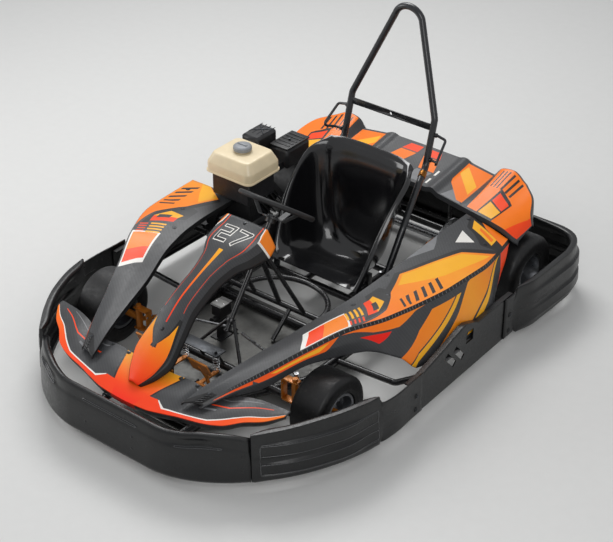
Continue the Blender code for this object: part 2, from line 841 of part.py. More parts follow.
def rear_bumper():
    y = RING_REAR_Y - BUMPER_WALL - GAP * 2
    section = [
        (-0.036, 0.196),
        (-0.028, 0.208),
        (-0.012, 0.208),
        (-0.006, 0.196),
        (-0.003, 0.120),
        (-0.001, RING_BOTTOM + 0.014),
        (-0.008, RING_BOTTOM + 0.006),
        (-0.028, RING_BOTTOM + 0.006),
    ]
    path = [(0.40, y), (0.25, y - 0.006), (0.0, y - 0.010), (-0.25, y - 0.006), (-0.40, y)]
    return swept("rear_bumper", [(point, section) for point in path], 1, (0, 1, 0))


def suffix(side):
    return "_l" if side > 0 else "_r"


def front_bumper_bar():
    """The U-shaped bar that plugs on the rails' front ends and backs the front bumper, whose face leans back."""
    lean = 0.002
    y = RING_FRONT_Y + lean + BUMPER_WALL + GAP + BAR_FLAT
    rail_end = FRONT_AXLE_Y - 0.36
    z = RAIL_Z
    path = [(-RAIL_FRONT_X, rail_end - GAP, z), (-RAIL_FRONT_X, y, z)]
    path += [(RAIL_FRONT_X, y, z), (RAIL_FRONT_X, rail_end - GAP, z)]
    return tube("front_bumper_bar", rounded(path, 0.05, 2), BAR_R, FRAME_PAINT)


def side_bar(side):
    """A bent bar from the rail, along the inside of the side bumper and back, which carries the side pod."""
    start_x = RAIL_X + RAIL_R + GAP
    y0, y1 = -0.13, 0.36
    inner = -BUMPER_WALL - BAR_FLAT - GAP * 2
    z = SIDE_BAR_Z
    path = [
        (side * start_x, y0, RAIL_Z),
        (side * 0.55, y0, 0.095),
        (side * (side_x(y0) + inner), y0 + 0.03, z),
        (side * (side_x(y1) + inner), y1 - 0.03, z),
        (side * 0.55, y1, 0.095),
        (side * start_x, y1, RAIL_Z),
    ]
    return tube("side_bar" + suffix(side), rounded(path, 0.035, 1), BAR_R, FRAME_PAINT)


def rear_bumper_bar():
    bow = 0.0129
    y = RING_REAR_Y - BUMPER_WALL * 2 - bow - BAR_FLAT
    start = REAR_AXLE_Y + 0.17 + GAP
    path = [(-RAIL_X, start, RAIL_Z), (-RAIL_X, y, RAIL_Z), (RAIL_X, y, RAIL_Z), (RAIL_X, start, RAIL_Z)]
    return tube("rear_bumper_bar", rounded(path, 0.03, 2), BAR_R, FRAME_PAINT)


# Body panels


def nose_fairing():
    """A low wing over the front bumper: each station runs from its rear edge over the top to the under lip."""
    stations = [
        (0.00, (-0.690, 0.236), (-0.770, 0.224), (-0.852, 0.194)),
        (0.09, (-0.690, 0.238), (-0.770, 0.225), (-0.848, 0.196)),
        (0.172, (-0.690, 0.245), (-0.760, 0.229), (-0.832, 0.2035)),
        (0.205, (-0.690, 0.240), (-0.755, 0.220), (-0.822, 0.205)),
        (0.30, (-0.662, 0.234), (-0.725, 0.228), (-0.800, 0.210)),
        (0.356, (-0.645, 0.246), (-0.705, 0.236), (-0.776, 0.2145)),
        (0.405, (-0.633, 0.248), (-0.680, 0.238), (-0.732, 0.2245)),
        (0.455, (-0.624, 0.245), (-0.658, 0.239), (-0.696, 0.2290)),
        (0.502, (-0.618, 0.2425), (-0.630, 0.2415), (-0.640, 0.2385)),
    ]
    rows = []
    for x, rear, middle, front in stations:
        lip = 0.030 if x < 0.46 else 0.024
        inset = 0.012
        row = [(x, rear[0], rear[1] - 0.018), (x, rear[0], rear[1]), (x, *middle), (x, *front)]
        row.append((x - 0.004, front[0] + 0.002, front[1] - 0.010))
        row.append((x - 0.012 * (x / 0.502), front[0] + inset, front[1] - lip))
        rows.append(row)
    mirrored = [[(-x, y, z) for x, y, z in row] for row in reversed(rows[1:])]
    creases = [("v", 1), ("v", 3)]
    return sheet("nose_fairing", mirrored + rows, PANEL, PANEL_PLASTIC, (0, -0.3, 1), 0, creases)


def steering_cowl(nose):
    """The narrow-waisted spine from the nose up to the steering wheel, with side walls that fold down."""
    tip_y, tip_z = -0.800, 0.2290
    tip_wall = tip_z - facing_height(nose, 0.022, tip_y + 0.010, False) - PANEL - GAP
    stations = [
        (tip_y, tip_z, 0.016, 0.004, tip_wall),
        (-0.752, 0.2640, 0.048, 0.008, 0.024),
        (-0.704, 0.3020, 0.064, 0.010, 0.034),
        (-0.635, 0.3640, 0.053, 0.009, 0.040),
        (-0.563, 0.4210, 0.042, 0.008, 0.042),
        (-0.474, 0.4640, 0.041, 0.008, 0.042),
        (-0.390, 0.4980, 0.054, 0.008, 0.046),
        (-0.325, 0.5240, 0.086, 0.008, 0.056),
        (-0.271, 0.5400, 0.092, 0.007, 0.066),
        (-0.226, 0.5590, 0.087, 0.004, 0.062),
    ]
    rows = []
    for y, z, half, crown, wall in stations:
        flare = 0.010 + 0.25 * wall
        over = [(half * share, y, z + crown * (1 - share * share)) for share in (0.0, 0.62, 1.0)]
        side = [(half + flare * 0.5, y + 0.004, z - wall * 0.45), (half + flare, y + 0.010, z - wall)]
        row = over + side
        rows.append([(-a, b, c) for a, b, c in reversed(row[1:])] + row)
    creases = [("v", 2), ("v", 6)]
    return sheet("steering_cowl", rows, PANEL, PANEL_PLASTIC, (0, -0.6, 0.8), 0, creases)


def cowl_bracket(cowl):
    """A strap on the two struts' tops, bent up to the cowl's underside."""
    x, y = STRUT_X, STRUT_Y
    thickness, half = 0.003, 0.012
    low = STRUT_TOP + 0.0035 + thickness
    bend = x - 0.034
    edges = (y - half, y + half)
    tops = [min(underside(cowl, s * bend, edge) for s in (-1, 1)) - GAP for edge in edges]
    runs = [(x + 0.012, low, low), (x - 0.012, low, low), (bend, *tops)]
    runs += [(-a, front, rear) for a, front, rear in reversed(runs)]
    rows = [[(a, edges[0], front), (a, edges[1], rear)] for a, front, rear in runs]
    return sheet("cowl_bracket", rows, thickness, FRAME_PAINT, (0, 0, 1))


POD_END = 0.128
POD_TOP = 0.360


def side_pod(side):
    """A long pod: inner edge, flat top, outer ridge with a black lip, then the outer wall down to the ring."""
    foot_x = side_x(0.1) - BUMPER_WALL - BAR_FLAT - GAP * 2
    foot_z = SIDE_BAR_Z + BAR_R + GAP
    stations = [
        ((0.197, -0.785, 0.233), (0.254, -0.763, 0.240), (0.260, -0.768, 0.225), 0.008),
        ((0.222, -0.692, 0.262), (0.301, -0.670, 0.272), (0.304, -0.680, 0.242), 0.010),
        ((0.249, -0.589, 0.283), (0.344, -0.577, 0.297), (0.349, -0.592, 0.240), 0.016),
        ((0.290, -0.425, 0.309), (0.410, -0.435, 0.338), (0.428, -0.420, 0.281), 0.016),
        ((0.341, -0.252, 0.345), (0.488, -0.280, 0.376), (0.516, -0.268, 0.282), 0.016),
        ((0.362, -0.126, 0.355), (0.540, -0.160, 0.376), (0.600, -0.178, 0.244), 0.016),
        ((0.366, -0.030, 0.359), (0.562, -0.040, 0.368), (0.628, -0.115, 0.184), 0.016),
        ((0.366, POD_END, 0.360), (0.582, POD_END + 0.01, 0.357), (foot_x, POD_END, foot_z), 0.016),
        ((0.360, 0.330, 0.360), (0.578, 0.320, 0.338), (foot_x, 0.285, foot_z), 0.016),
        ((0.356, 0.480, 0.360), (0.548, 0.480, 0.318), (0.612, 0.370, 0.212), 0.016),
        ((0.356, 0.560, 0.360), (0.526, 0.575, 0.310), (0.590, 0.420, 0.235), 0.016),
    ]
    if side < 0:
        stations = stations[:8]
    rows = []
    for inner, ridge, foot, lip in stations:
        edge = Vector((ridge[0] + 0.006, ridge[1], ridge[2] - lip * 0.75))
        middle = Vector(inner).lerp(Vector(ridge), 0.55) + Vector((0, 0, 0.004))
        wall = edge.lerp(Vector(foot), 0.5) + Vector((lip * 0.35, 0, lip * 0.25))
        low_inner = (inner[0] - lip / 4, inner[1], inner[2] - lip)
        rows.append([(side * x, y, z) for x, y, z in (low_inner, inner, middle, ridge, edge, wall, foot)])
    creases = [("v", 1), ("v", 3), ("v", 4)]
    return sheet("side_pod" + suffix(side), rows, PANEL, PANEL_PLASTIC, (side * 0.6, 0, 1), 0, creases)


def rear_cover():
    """The cover over the rear axle: a raised middle panel, then side panels with a fin and an outer slope."""
    columns = [
        (0.000, 0.615, 0.372, 0.835, 0.402, 0.330),
        (0.140, 0.612, 0.372, 0.833, 0.402, 0.330),
        (0.165, 0.610, 0.380, 0.832, 0.410, 0.330),
        (0.198, 0.606, 0.368, 0.829, 0.399, 0.325),
        (0.300, 0.594, 0.362, 0.826, 0.386, 0.320),
        (0.335, 0.590, 0.360, 0.827, 0.424, 0.320),
        (0.375, 0.586, 0.357, 0.829, 0.430, 0.312),
        (0.445, 0.580, 0.352, 0.808, 0.405, 0.310),
        (0.500, 0.582, 0.338, 0.765, 0.384, 0.308),
        (0.535, 0.592, 0.314, 0.705, 0.350, 0.306),
        (0.552, 0.606, 0.298, 0.690, 0.320, 0.305),
    ]
    rows = []
    for x, y0, z0, y1, z1, low in columns:
        middle = (x, y0 + (y1 - y0) * 0.5, z0 + (z1 - z0) * 0.42)
        rows.append(
            [
                (x, y0 - 0.004, z0 - 0.018),
                (x, y0, z0),
                middle,
                (x, y1, z1),
                (x, y1 + 0.014, z1 - 0.010),
                (x, y1 + 0.020, low),
            ]
        )
    mirrored = [[(-x, y, z) for x, y, z in row] for row in reversed(rows[1:])]
    count = len(columns) - 1
    creases = [("v", 1), ("v", 3)]
    for i in (1, 3, 4, 7):
        creases += [("u", count + i), ("u", count - i)]
    return sheet("rear_cover", mirrored + rows, PANEL, PANEL_PLASTIC, (0, 0.2, 1), 0, creases)


def seat():
    """A one-piece bucket: each station pairs a spine point with a rim point and sweeps a U between them."""
    stations = [
        ((0.120, 0.186), (0.118, 0.184), 0.178),
        ((0.200, 0.180), (0.160, 0.255), 0.184),
        ((0.300, 0.112), (0.206, 0.352), 0.192),
        ((0.388, 0.146), (0.264, 0.432), 0.200),
        ((0.406, 0.260), (0.324, 0.488), 0.204),
        ((0.420, 0.400), (0.386, 0.528), 0.203),
        ((0.440, 0.540), (0.428, 0.538), 0.172),
        ((0.468, 0.556), (0.452, 0.546), 0.167),
    ]
    rows = []
    for spine, rim, half in stations:
        spine_v, rim_v = Vector(spine), Vector(rim)
        section = [(0.0, 0.0), (0.78, 0.08), (1.0, 0.88)]
        row = []
        for across, share in section:
            place = spine_v.lerp(rim_v, share)
            row.append((half * across, place.x, place.y))
        roll = [(0.012, 0.006), (0.027, -0.014)]
        for out, lift in roll:
            row.append((half + out, rim[0], rim[1] + lift))
        rows.append([(-x, y, z) for x, y, z in reversed(row[1:])] + row)
    return sheet("seat", rows, 0.004, GLOSS, (0, 0.4, -1), 1, (), 1.0)


# Roll hoop and belt brackets


def hoop_leg(side):
    """From a cross tube, up past the seat's side, to the bend behind the seat and on to the top."""
    foot = RAIL_Z + CROSS_TUBE_R + GAP
    return [
        (side * 0.232, SEAT_TUBE_FRONT, foot),
        (side * 0.232, SEAT_TUBE_FRONT + 0.012, foot + 0.05),
        (side * 0.232, 0.342, 0.353),
        (side * 0.205, 0.470, 0.470),
        (side * 0.184, 0.540, 0.500),
        (side * 0.183, 0.587, 0.671),
        (side * 0.056, 0.668, 0.9945),
    ]


def roll_hoop():
    """One bent tube with a flat cross plate that has a bolt hole in its middle."""
    low = rounded(hoop_leg(1), 0.045, 1)[:-1]
    top_y = 0.668
    crown = []
    for i in range(7):
        a = math.radians(20 + 140 * i / 6)
        z = HOOP_APEX_Z - HOOP_R - 0.056 + 0.056 * math.sin(a)
        crown.append((0.060 * math.cos(a), top_y, z))
    path = low + [Vector(p) for p in crown] + [Vector((-p.x, p.y, p.z)) for p in reversed(low)]
    hoop = tube("hoop_tube", path, HOOP_R, FRAME_PAINT)
    plate_z = 0.6425
    plate = box("cross_plate", (0.366, 0.004, 0.026), (0.0, HOOP_PLATE_Y, plate_z), FRAME_PAINT)
    joined = union("roll_hoop", [hoop, plate])
    hole = cylinder("plate_hole", 0.006, (0.0, 0.55, plate_z), (0.0, 0.62, plate_z), METAL, 12, CUTTERS)
    return cut(joined, [hole])


def belt_bracket(side):
    """A bent rod beside the hoop, from its cross plate out and down to its foot."""
    clear = HOOP_R + GAP
    path = [
        (side * (0.1845 + clear), 0.575, 0.6205),
        (side * 0.240, 0.578, 0.6095),
        (side * 0.252, 0.500, 0.545),
        (side * 0.226, 0.546, 0.530),
        (side * (0.184 + clear), 0.548, 0.530),
    ]
    return tube("belt_bracket" + suffix(side), rounded(path, 0.010, 1), 0.005, FRAME_PAINT)


# Steering


def steering_grip():
    up = steer_basis()[0]
    turn = up.to_track_quat("Z", "Y").to_matrix().to_4x4()
    bm = bmesh.new()
    rings, sides = GRIP_STEPS, 8
    for i in range(rings):
        a = 2 * math.pi * i / rings
        out = Vector((math.cos(a), math.sin(a), 0.0))
        for j in range(sides):
            b = 2 * math.pi * j / sides
            bm.verts.new(out * (WHEEL_R + GRIP_R * math.cos(b)) + Vector((0, 0, GRIP_R * math.sin(b))))
    bm.verts.ensure_lookup_table()
    for i in range(rings):
        for j in range(sides):
            a, b = i * sides, ((i + 1) % rings) * sides
            k = (j + 1) % sides
            bm.faces.new([bm.verts[n] for n in (a + j, b + j, b + k, a + k)])
    bmesh.ops.recalc_face_normals(bm, faces=bm.faces)
    bmesh.ops.transform(bm, matrix=Matrix.Translation(WHEEL_CENTRE) @ turn, verts=bm.verts)
    return smooth(from_bmesh("steering_grip", bm, GRIP), 60)


def steering_wheel_frame():
    """Hub plate and three dished spokes that meet the grip from inside."""
    up, left, down = steer_basis()
    centre = Vector(WHEEL_CENTRE)
    hub = column_point(WHEEL_DISH)
    pieces = [cylinder("hub_plate", 0.032, hub - up * 0.003, hub + up * 0.003, METAL, 16)]
    pieces.append(cylinder("hub_boss", 0.018, hub - up * 0.018, hub + up * 0.001, METAL, 12))
    for degrees in (0, 180, 270):
        a = math.radians(degrees)
        out = left * math.cos(a) - down * math.sin(a)
        across = up.cross(out)
        reach = (WHEEL_R - GRIP_R) * math.cos(math.pi / GRIP_STEPS) - 0.0008
        points = [hub + out * 0.015, hub + out * 0.05, centre + out * (reach - 0.02), centre + out * reach]
        rows = [[p - across * 0.011, p + across * 0.011] for p in points]
        pieces.append(sheet("spoke", rows, 0.004, METAL, up, 0, (), 0.0))
    return union("steering_wheel_frame", pieces)


def steering_column():
    """The shaft with its pitman arm, which carries the pins of the two tie rods."""
    up, left, down = steer_basis()
    top = column_point(WHEEL_DISH + 0.018 + GAP)
    bottom = column_point(COLUMN_LENGTH)
    pitman_r = STEER_RATIO * (ARM_END_Y - FRONT_AXLE_Y)
    tip = bottom + down * pitman_r
    pieces = [cylinder("shaft", COLUMN_R, bottom - up * 0.006, top, FRAME_PAINT, 16)]
    turn = Matrix((left, down, up)).transposed()
    outline = arc((0.0, 0.0), 0.013, 180, 360, 6) + [(0.019, pitman_r + 0.010), (-0.019, pitman_r + 0.010)]
    pieces.append(outline_solid("pitman", outline, 0.006, FRAME_PAINT, bottom, turn))
    for s in (-1, 1):
        pin = tip + left * (s * 0.013)
        pieces.append(cylinder("pin", 0.0035, pin - up * 0.001, pin + up * 0.016, METAL, 10))
    return union("steering_column", pieces)


def spindle(side):
    """Barrel, kingpin, stub axle and steering arm, which turn together in the yoke."""
    x, y, z = side * KINGPIN_X, FRONT_AXLE_Y, FRONT_TYRE_R
    half = YOKE_HALF - GAP
    low, high = z - YOKE_HALF - YOKE_PLATE - 0.008, z + YOKE_HALF + YOKE_PLATE + 0.010
    pieces = [cylinder("barrel", BARREL_R, (x, y, z - half), (x, y, z + half), GOLD, 12)]
    pieces.append(cylinder("kingpin", KINGPIN_R, (x, y, low + 0.004), (x, y, high - 0.004), METAL, 10))
    clear = YOKE_HALF + YOKE_PLATE + GAP
    pieces.append(cylinder("nut", 0.010, (x, y, z - clear), (x, y, low), METAL, 6))
    pieces.append(cylinder("head", 0.010, (x, y, z + clear), (x, y, high), METAL, 6))
    stub_end = side * (FRONT_TRACK / 2 + 0.045)
    pieces.append(cylinder("stub", STUB_R, (x, y, z), (stub_end, y, z), METAL, 10))
    shoulder = side * (FRONT_TRACK / 2 - 0.042)
    pieces.append(cylinder("shoulder", 0.0125, (x, y, z), (shoulder, y, z), GOLD, 10))
    tip = Vector((side * ARM_END_X, ARM_END_Y, z))
    root = Vector((x, y, z))
    along = (tip - root).normalized()
    turn = Matrix((along, Vector((-along.y, along.x, 0)), Vector((0, 0, 1)))).transposed()
    length = (tip - root).length
    outline = [(0.0, -0.010), (length, -0.0085)] + arc((length, 0.0), 0.0085, -60, 60, 4) + [(length, 0.0085), (0.0, 0.010)]
    pieces.append(outline_solid("arm", outline, 0.007, GOLD, (x, y, z - 0.008), turn))
    joined = union("spindle" + suffix(side), pieces)
    hole = cylinder("arm_hole", 0.0035 + GAP, tip - Vector((0, 0, 0.03)), tip + Vector((0, 0, 0.03)), METAL, 10, CUTTERS)
    return cut(joined, [hole])


def tie_rod(side):
    """A rod with an eye and bolt at the spindle arm. Its inner end stops short of the pitman's pin."""
    up, left, down = steer_basis()
    z = FRONT_TYRE_R
    outer = Vector((side * ARM_END_X, ARM_END_Y, z))
    bottom = column_point(COLUMN_LENGTH)
    pin = bottom + down * (STEER_RATIO * (ARM_END_Y - FRONT_AXLE_Y)) + left * (side * 0.013) + up * 0.009
    eye_in = 0.011
    inner = pin + left * (side * eye_in)
    lift = Vector((0, 0, 0.002))
    pieces = [tube("rod", [outer + lift, inner.lerp(outer, 0.03) + Vector((side * 0.002, 0, 0))], TIE_ROD_R, METAL)]
    pieces.append(cylinder("rod_end", 0.0085, outer - Vector((0, 0, 0.0041)), outer + Vector((0, 0, 0.0075)), METAL, 14))
    pieces.append(cylinder("bolt", 0.0035, outer - Vector((0, 0, 0.0165)), outer + Vector((0, 0, 0.004)), METAL, 12))
    return union("tie_rod" + suffix(side), pieces)


# Wheels


def tyre_profile(radius, width, rim_width):
    """An open-backed tyre section: bead, sidewalls and tread outside, then the hollow inside."""
    half, wall = width / 2, 0.009
    bead = BEAD_R + GAP
    seat_half = rim_width / 2 - FLANGE_W - GAP
    rise = radius - bead
    outer = [
        (bead, seat_half),
        (FLANGE_R + 0.0015, seat_half),
        (bead + rise * 0.55, half),
        (radius, half * 0.78),
    ]
    inner = [(bead, -seat_half + wall), (radius - wall, -half * 0.72), (radius - wall, half * 0.72), (bead, seat_half - wall)]
    return outer + [(r, -a) for r, a in reversed(outer)] + inner


def tyre(name, radius, width, rim_width, centre):
    return turned(name, tyre_profile(radius, width, rim_width), RUBBER, WHEEL_STEPS, centre)


def rim(name, side, width, bore, dish, centre, hub_inner):
    """A two-flange rim with a disc and hub; dish is how far outboard of the middle the disc sits."""
    half = width / 2
    inside = BEAD_R - RIM_WALL
    profile = [
        (FLANGE_R - 0.002, half),
        (FLANGE_R, half - FLANGE_W),
        (BEAD_R, half - FLANGE_W),
        (BEAD_R, -half + FLANGE_W),
        (FLANGE_R, -half + FLANGE_W),
        (FLANGE_R - 0.002, -half),
        (inside, -half),
        (inside, dish - 0.004),
        (0.026, dish - 0.002),
        (0.026, hub_inner),
        (bore, hub_inner),
        (bore, dish + 0.010),
        (inside, dish + 0.006),
        (inside, half),
    ]
    if side < 0:
        profile = [(r, -a) for r, a in reversed(profile)]
    return turned(name, profile, METAL, WHEEL_STEPS, centre)


def front_wheel(side):
    centre = (side * FRONT_TRACK / 2, FRONT_AXLE_Y, FRONT_TYRE_R)
    bore = STUB_R + GAP
    origin_at(rim("front_rim" + suffix(side), side, FRONT_RIM_W, bore, 0.012, centre, -0.040), centre)
    origin_at(tyre("front_tyre" + suffix(side), FRONT_TYRE_R, FRONT_TYRE_W, FRONT_RIM_W, centre), centre)


def rear_wheel(side):
    centre = (side * REAR_TRACK / 2, REAR_AXLE_Y, REAR_TYRE_R)
    bore = AXLE_R + GAP
    origin_at(rim("rear_rim" + suffix(side), side, REAR_RIM_W, bore, 0.020, centre, -0.060), centre)
    origin_at(tyre("rear_tyre" + suffix(side), REAR_TYRE_R, REAR_TYRE_W, REAR_RIM_W, centre), centre)


# Rear axle and drive


def rear_axle():
    end = REAR_TRACK / 2 + 0.034
    y, z = REAR_AXLE_Y, REAR_TYRE_R
    return cylinder("rear_axle", AXLE_R, (-end, y, z), (end, y, z), METAL, 16)


def axle_bearing(side):
    """A cast carrier on the rail, round the axle."""
    x, y, z = side * RAIL_X, REAR_AXLE_Y, REAR_TYRE_R
    foot = RAIL_Z + RAIL_R + GAP - z
    outline = arc((0.0, 0.0), 0.033, -20, 200, 6) + [(-0.040, foot), (0.040, foot)]
    turn = Matrix(((0, 0, 1), (1, 0, 0), (0, 1, 0)))
    carrier = outline_solid("carrier", outline, 2 * BEARING_HALF, METAL, (x, y, z), turn)
    ring = cylinder("ring", 0.024, (x - BEARING_HALF - 0.003, y, z), (x + BEARING_HALF + 0.003, y, z), METAL, 12)
    joined = union("axle_bearing" + suffix(side), [carrier, ring])
    bore = cylinder("bore", AXLE_R + RUN * 1.7, (x - 0.05, y, z), (x + 0.05, y, z), METAL, 12, CUTTERS)
    return cut(joined, [bore])


def brake_disc():
    y, z = REAR_AXLE_Y, REAR_TYRE_R
    half, bore = DISC_THICKNESS / 2, AXLE_R + GAP
    profile = [
        (DISC_R, half),
        (DISC_R, -half),
        (0.028, -half),
        (0.028, -0.016),
        (bore, -0.016),
        (bore, 0.016),
        (0.028, 0.016),
        (0.028, half),
    ]
    disc = turned("brake_disc", profile, METAL, 18, (DISC_X, y, z))
    cutters = []
    for i in range(4):
        a = math.radians(90 * i + 30)
        cy, cz = y + 0.047 * math.cos(a), z + 0.047 * math.sin(a)
        cutters.append(cylinder("slot", 0.010, (DISC_X - 0.02, cy, cz), (DISC_X + 0.02, cy, cz), METAL, 6, CUTTERS))
    return cut(disc, cutters)


def brake_caliper():
    """A block that straddles the disc's front edge, on a bracket from the left rail."""
    y = REAR_AXLE_Y - DISC_R - 0.006
    z = REAR_TYRE_R + 0.012
    body = box("brake_caliper", (0.052, 0.056, 0.062), (DISC_X, y + 0.004, z), METAL, 0.006)
    foot_z = RAIL_Z + RAIL_R + GAP
    foot = box("foot", (0.095, 0.034, 0.008), (RAIL_X - 0.034, y - 0.006, foot_z + 0.004), METAL)
    leg = box("leg", (0.016, 0.034, z - foot_z), (DISC_X + 0.018, y - 0.006, (z + foot_z) / 2), METAL)
    joined = union("brake_caliper", [body, foot, leg])
    gap = DISC_THICKNESS + 2 * 0.0008
    slot = box("slot", (gap, 0.09, 0.30), (DISC_X, y + 0.045 - 0.006 - 0.002, z), METAL, 0, None, CUTTERS)
    return cut(joined, [slot])


def brake_master_cylinder():
    """A small cylinder with a square reservoir on it, standing on the floor pan."""
    x, y = MASTER_X, MASTER_Y
    low = RAIL_Z - RAIL_R
    pieces = [box("foot", (0.050, 0.070, 0.004), (x, y, low + 0.002), METAL)]
    pieces.append(box("web", (0.006, 0.050, MASTER_Z - low), (x, y, (MASTER_Z + low) / 2), METAL))
    pieces.append(cylinder("bore", 0.013, (x, y - 0.050, MASTER_Z), (x, y + 0.040, MASTER_Z), METAL, 12))
    pieces.append(box("reservoir", (0.044, 0.060, 0.040), (x, y, MASTER_Z + 0.028), PLASTIC, 0.004))
    pieces.append(box("lid", (0.048, 0.064, 0.006), (x, y, MASTER_Z + 0.050), GREY_PLASTIC))
    return union("brake_master_cylinder", pieces)


def toothed(radius, teeth, depth):
    """A sprocket's outline, with three points for each tooth gap."""
    points = []
    for i in range(teeth):
        a = 2 * math.pi * i / teeth
        step = 2 * math.pi / teeth
        for share, r in ((0.0, radius), (0.5, radius - depth)):
            b = a + step * share
            points.append((r * math.cos(b), r * math.sin(b)))
    return points


def side_turn():
    """Turns an outline drawn in XY so that it stands in the YZ plane, its thickness along X."""
    return Matrix(((0, 0, 1), (1, 0, 0), (0, 1, 0)))


def axle_sprocket():
    y, z = REAR_AXLE_Y, REAR_TYRE_R
    plate = outline_solid("teeth", toothed(SPROCKET_R, SPROCKET_TEETH, 0.006), 0.004, METAL, (CHAIN_X, y, z), side_turn())
    hub = cylinder("hub", 0.026, (CHAIN_X - 0.003, y, z), (CHAIN_X + 0.022, y, z), METAL, 14)
    joined = union("axle_sprocket", [plate, hub])
    cutters = [cylinder("bore", AXLE_R + RUN, (CHAIN_X - 0.05, y, z), (CHAIN_X + 0.05, y, z), METAL, 12, CUTTERS)]
    for i in range(5):
        a = math.radians(72 * i)
        cy, cz = y + 0.056 * math.cos(a), z + 0.056 * math.sin(a)
        cutters.append(cylinder("hole", 0.014, (CHAIN_X - 0.02, cy, cz), (CHAIN_X + 0.02, cy, cz), METAL, 6, CUTTERS))
    return cut(joined, cutters)


def clutch_drum():
    """The centrifugal clutch's drum on the crankshaft's end, with its small sprocket."""
    inner, outer = ENGINE_X + ENGINE_W / 2 + GAP, CHAIN_X + 0.010
    profile = [(0.0, outer), (DRUM_R - 0.012, outer), (DRUM_R - 0.008, CHAIN_X + 0.003), (DRUM_R - 0.008, CHAIN_X - 0.004)]
    profile += [(DRUM_R + 0.010, CHAIN_X - 0.007), (DRUM_R + 0.010, inner), (0.0, inner)]
    return turned("clutch_drum", profile, METAL, 14, (0.0, CRANK_Y, CRANK_Z))


def belt_outline(r1, c1, r2, c2, steps):
    """The outline of a loop round two circles in a plane, c1 the smaller circle's centre."""
    d = Vector(c2) - Vector(c1)
    lean = math.degrees(math.asin((r2 - r1) / d.length))
    base = math.degrees(math.atan2(d.y, d.x))
    return arc(c1, r1, base + 90 + lean, base + 270 - lean, steps) + arc(
        c2, r2, base - 90 - lean, base + 90 + lean, steps * 2
    )


def chain():
    """A roller chain as one band of link plates that clears the sprockets' teeth."""
    small, large = DRUM_R + 0.001, SPROCKET_R + 0.0012
    c1, c2 = (CRANK_Y, CRANK_Z), (REAR_AXLE_Y, REAR_TYRE_R)
    width = 0.0085
    outer = outline_solid(
        "chain", belt_outline(small + 0.007, c1, large + 0.007, c2, 6), width, METAL, (CHAIN_X, 0, 0), side_turn()
    )
    inner = outline_solid(
        "inside", belt_outline(small, c1, large, c2, 6), 0.03, METAL, (CHAIN_X, 0, 0), side_turn(), CUTTERS
    )
    return cut(outer, [inner])


def chain_guard():
    """A pan over the chain's upper run and inner side."""
    small, large = DRUM_R + 0.014, SPROCKET_R + 0.014
    c1, c2 = (CRANK_Y, CRANK_Z), (REAR_AXLE_Y, REAR_TYRE_R)
    wall = 0.002
    x1 = CHAIN_X + 0.0135
    x0 = CHAIN_X - 0.008
    turn = side_turn()
    outer = outline_solid(
        "chain_guard", belt_outline(small + wall, c1, large + wall, c2, 6), x1 - x0 + wall, PLASTIC,
        ((x0 + x1 + wall) / 2, 0, 0), turn,
    )
    hollow = outline_solid(
        "hollow", belt_outline(small, c1, large, c2, 6), 0.03, METAL, (x1 - 0.015, 0, 0), turn, CUTTERS
    )
    lower = box("lower", (0.2, 0.9, 0.20), (CHAIN_X, (CRANK_Y + REAR_AXLE_Y) / 2, 0.100 - 0.06), METAL, 0, None, CUTTERS)
    hole = cylinder("hole", AXLE_R + 0.012, (CHAIN_X - 0.05, *c2), (CHAIN_X + 0.05, *c2), METAL, 12, CUTTERS)
    pan = cut(outer, [hollow, lower, hole])
    y, foot_z = SEAT_TUBE_REAR - 0.045, RAIL_Z + RAIL_R + GAP
    stay_x = CHAIN_X - 0.0095
    top = CRANK_Z + small - wall / 2
    stay = box("stay", (0.004, 0.026, top - foot_z), (stay_x, y, (top + foot_z) / 2), PLASTIC)
    foot = box("foot", (RAIL_X + stay_x + 0.008, 0.026, 0.003), ((stay_x - RAIL_X - 0.004) / 2, y, foot_z + 0.0015), PLASTIC)
    return union("chain_guard", [pan, stay, foot])


# Engine


def engine_block():
    """Crankcase with feet, and a finned cylinder and head that lean back."""
    floor = PLATE_Z + GAP
    case = box("case", (ENGINE_W, 0.155, 0.17), (ENGINE_X, CRANK_Y - 0.002, floor + 0.085), ENGINE_PAINT, 0.012)
    foot = box("foot", (ENGINE_W - 0.01, 0.19, 0.012), (ENGINE_X, CRANK_Y, floor + 0.006), ENGINE_PAINT)
    pieces = [case, foot]
    lean = math.radians(38)
    along = Vector((0.0, math.cos(lean), math.sin(lean)))
    turn = along.to_track_quat("Z", "X").to_matrix()
    start = Vector((ENGINE_X, CRANK_Y + 0.045, CRANK_Z + 0.045))
    pieces.append(box("barrel", (0.075, 0.075, 0.15), start + along * 0.05, ENGINE_PAINT, 0, turn))
    for i in range(6):
        place = start + along * (0.028 + 0.016 * i)
        pieces.append(box("fin", (0.108, 0.108, 0.005), place, ENGINE_PAINT, 0, turn))
    pieces.append(box("head", (0.095, 0.095, 0.022), start + along * 0.128, ENGINE_PAINT, 0, turn))
    ports_y = PORTS_Y - GAP - 0.0125
    pieces.append(box("intake", (0.038, 0.025, 0.075), (AIR_X, ports_y, 0.3675), ENGINE_PAINT))
    pieces.append(box("outlet", (0.070, 0.025, 0.040), (MUFFLER_X + 0.037, ports_y, 0.352), ENGINE_PAINT))
    top = TANK_BOTTOM - GAP
    low = POD_TOP + 0.012
    shroud = (TANK_W - 0.040, TANK_L - 0.040, top - low)
    pieces.append(box("shroud", shroud, (TANK_X, TANK_Y, (top + low) / 2), ENGINE_PAINT, 0.006))
    bracket_z = floor + 0.165
    post = (0.11, 0.055, low + 0.01 - bracket_z)
    pieces.append(box("tank_post", post, (ENGINE_X, TANK_Y + 0.012, (low + 0.01 + bracket_z) / 2), ENGINE_PAINT))
    return union("engine_block", pieces)


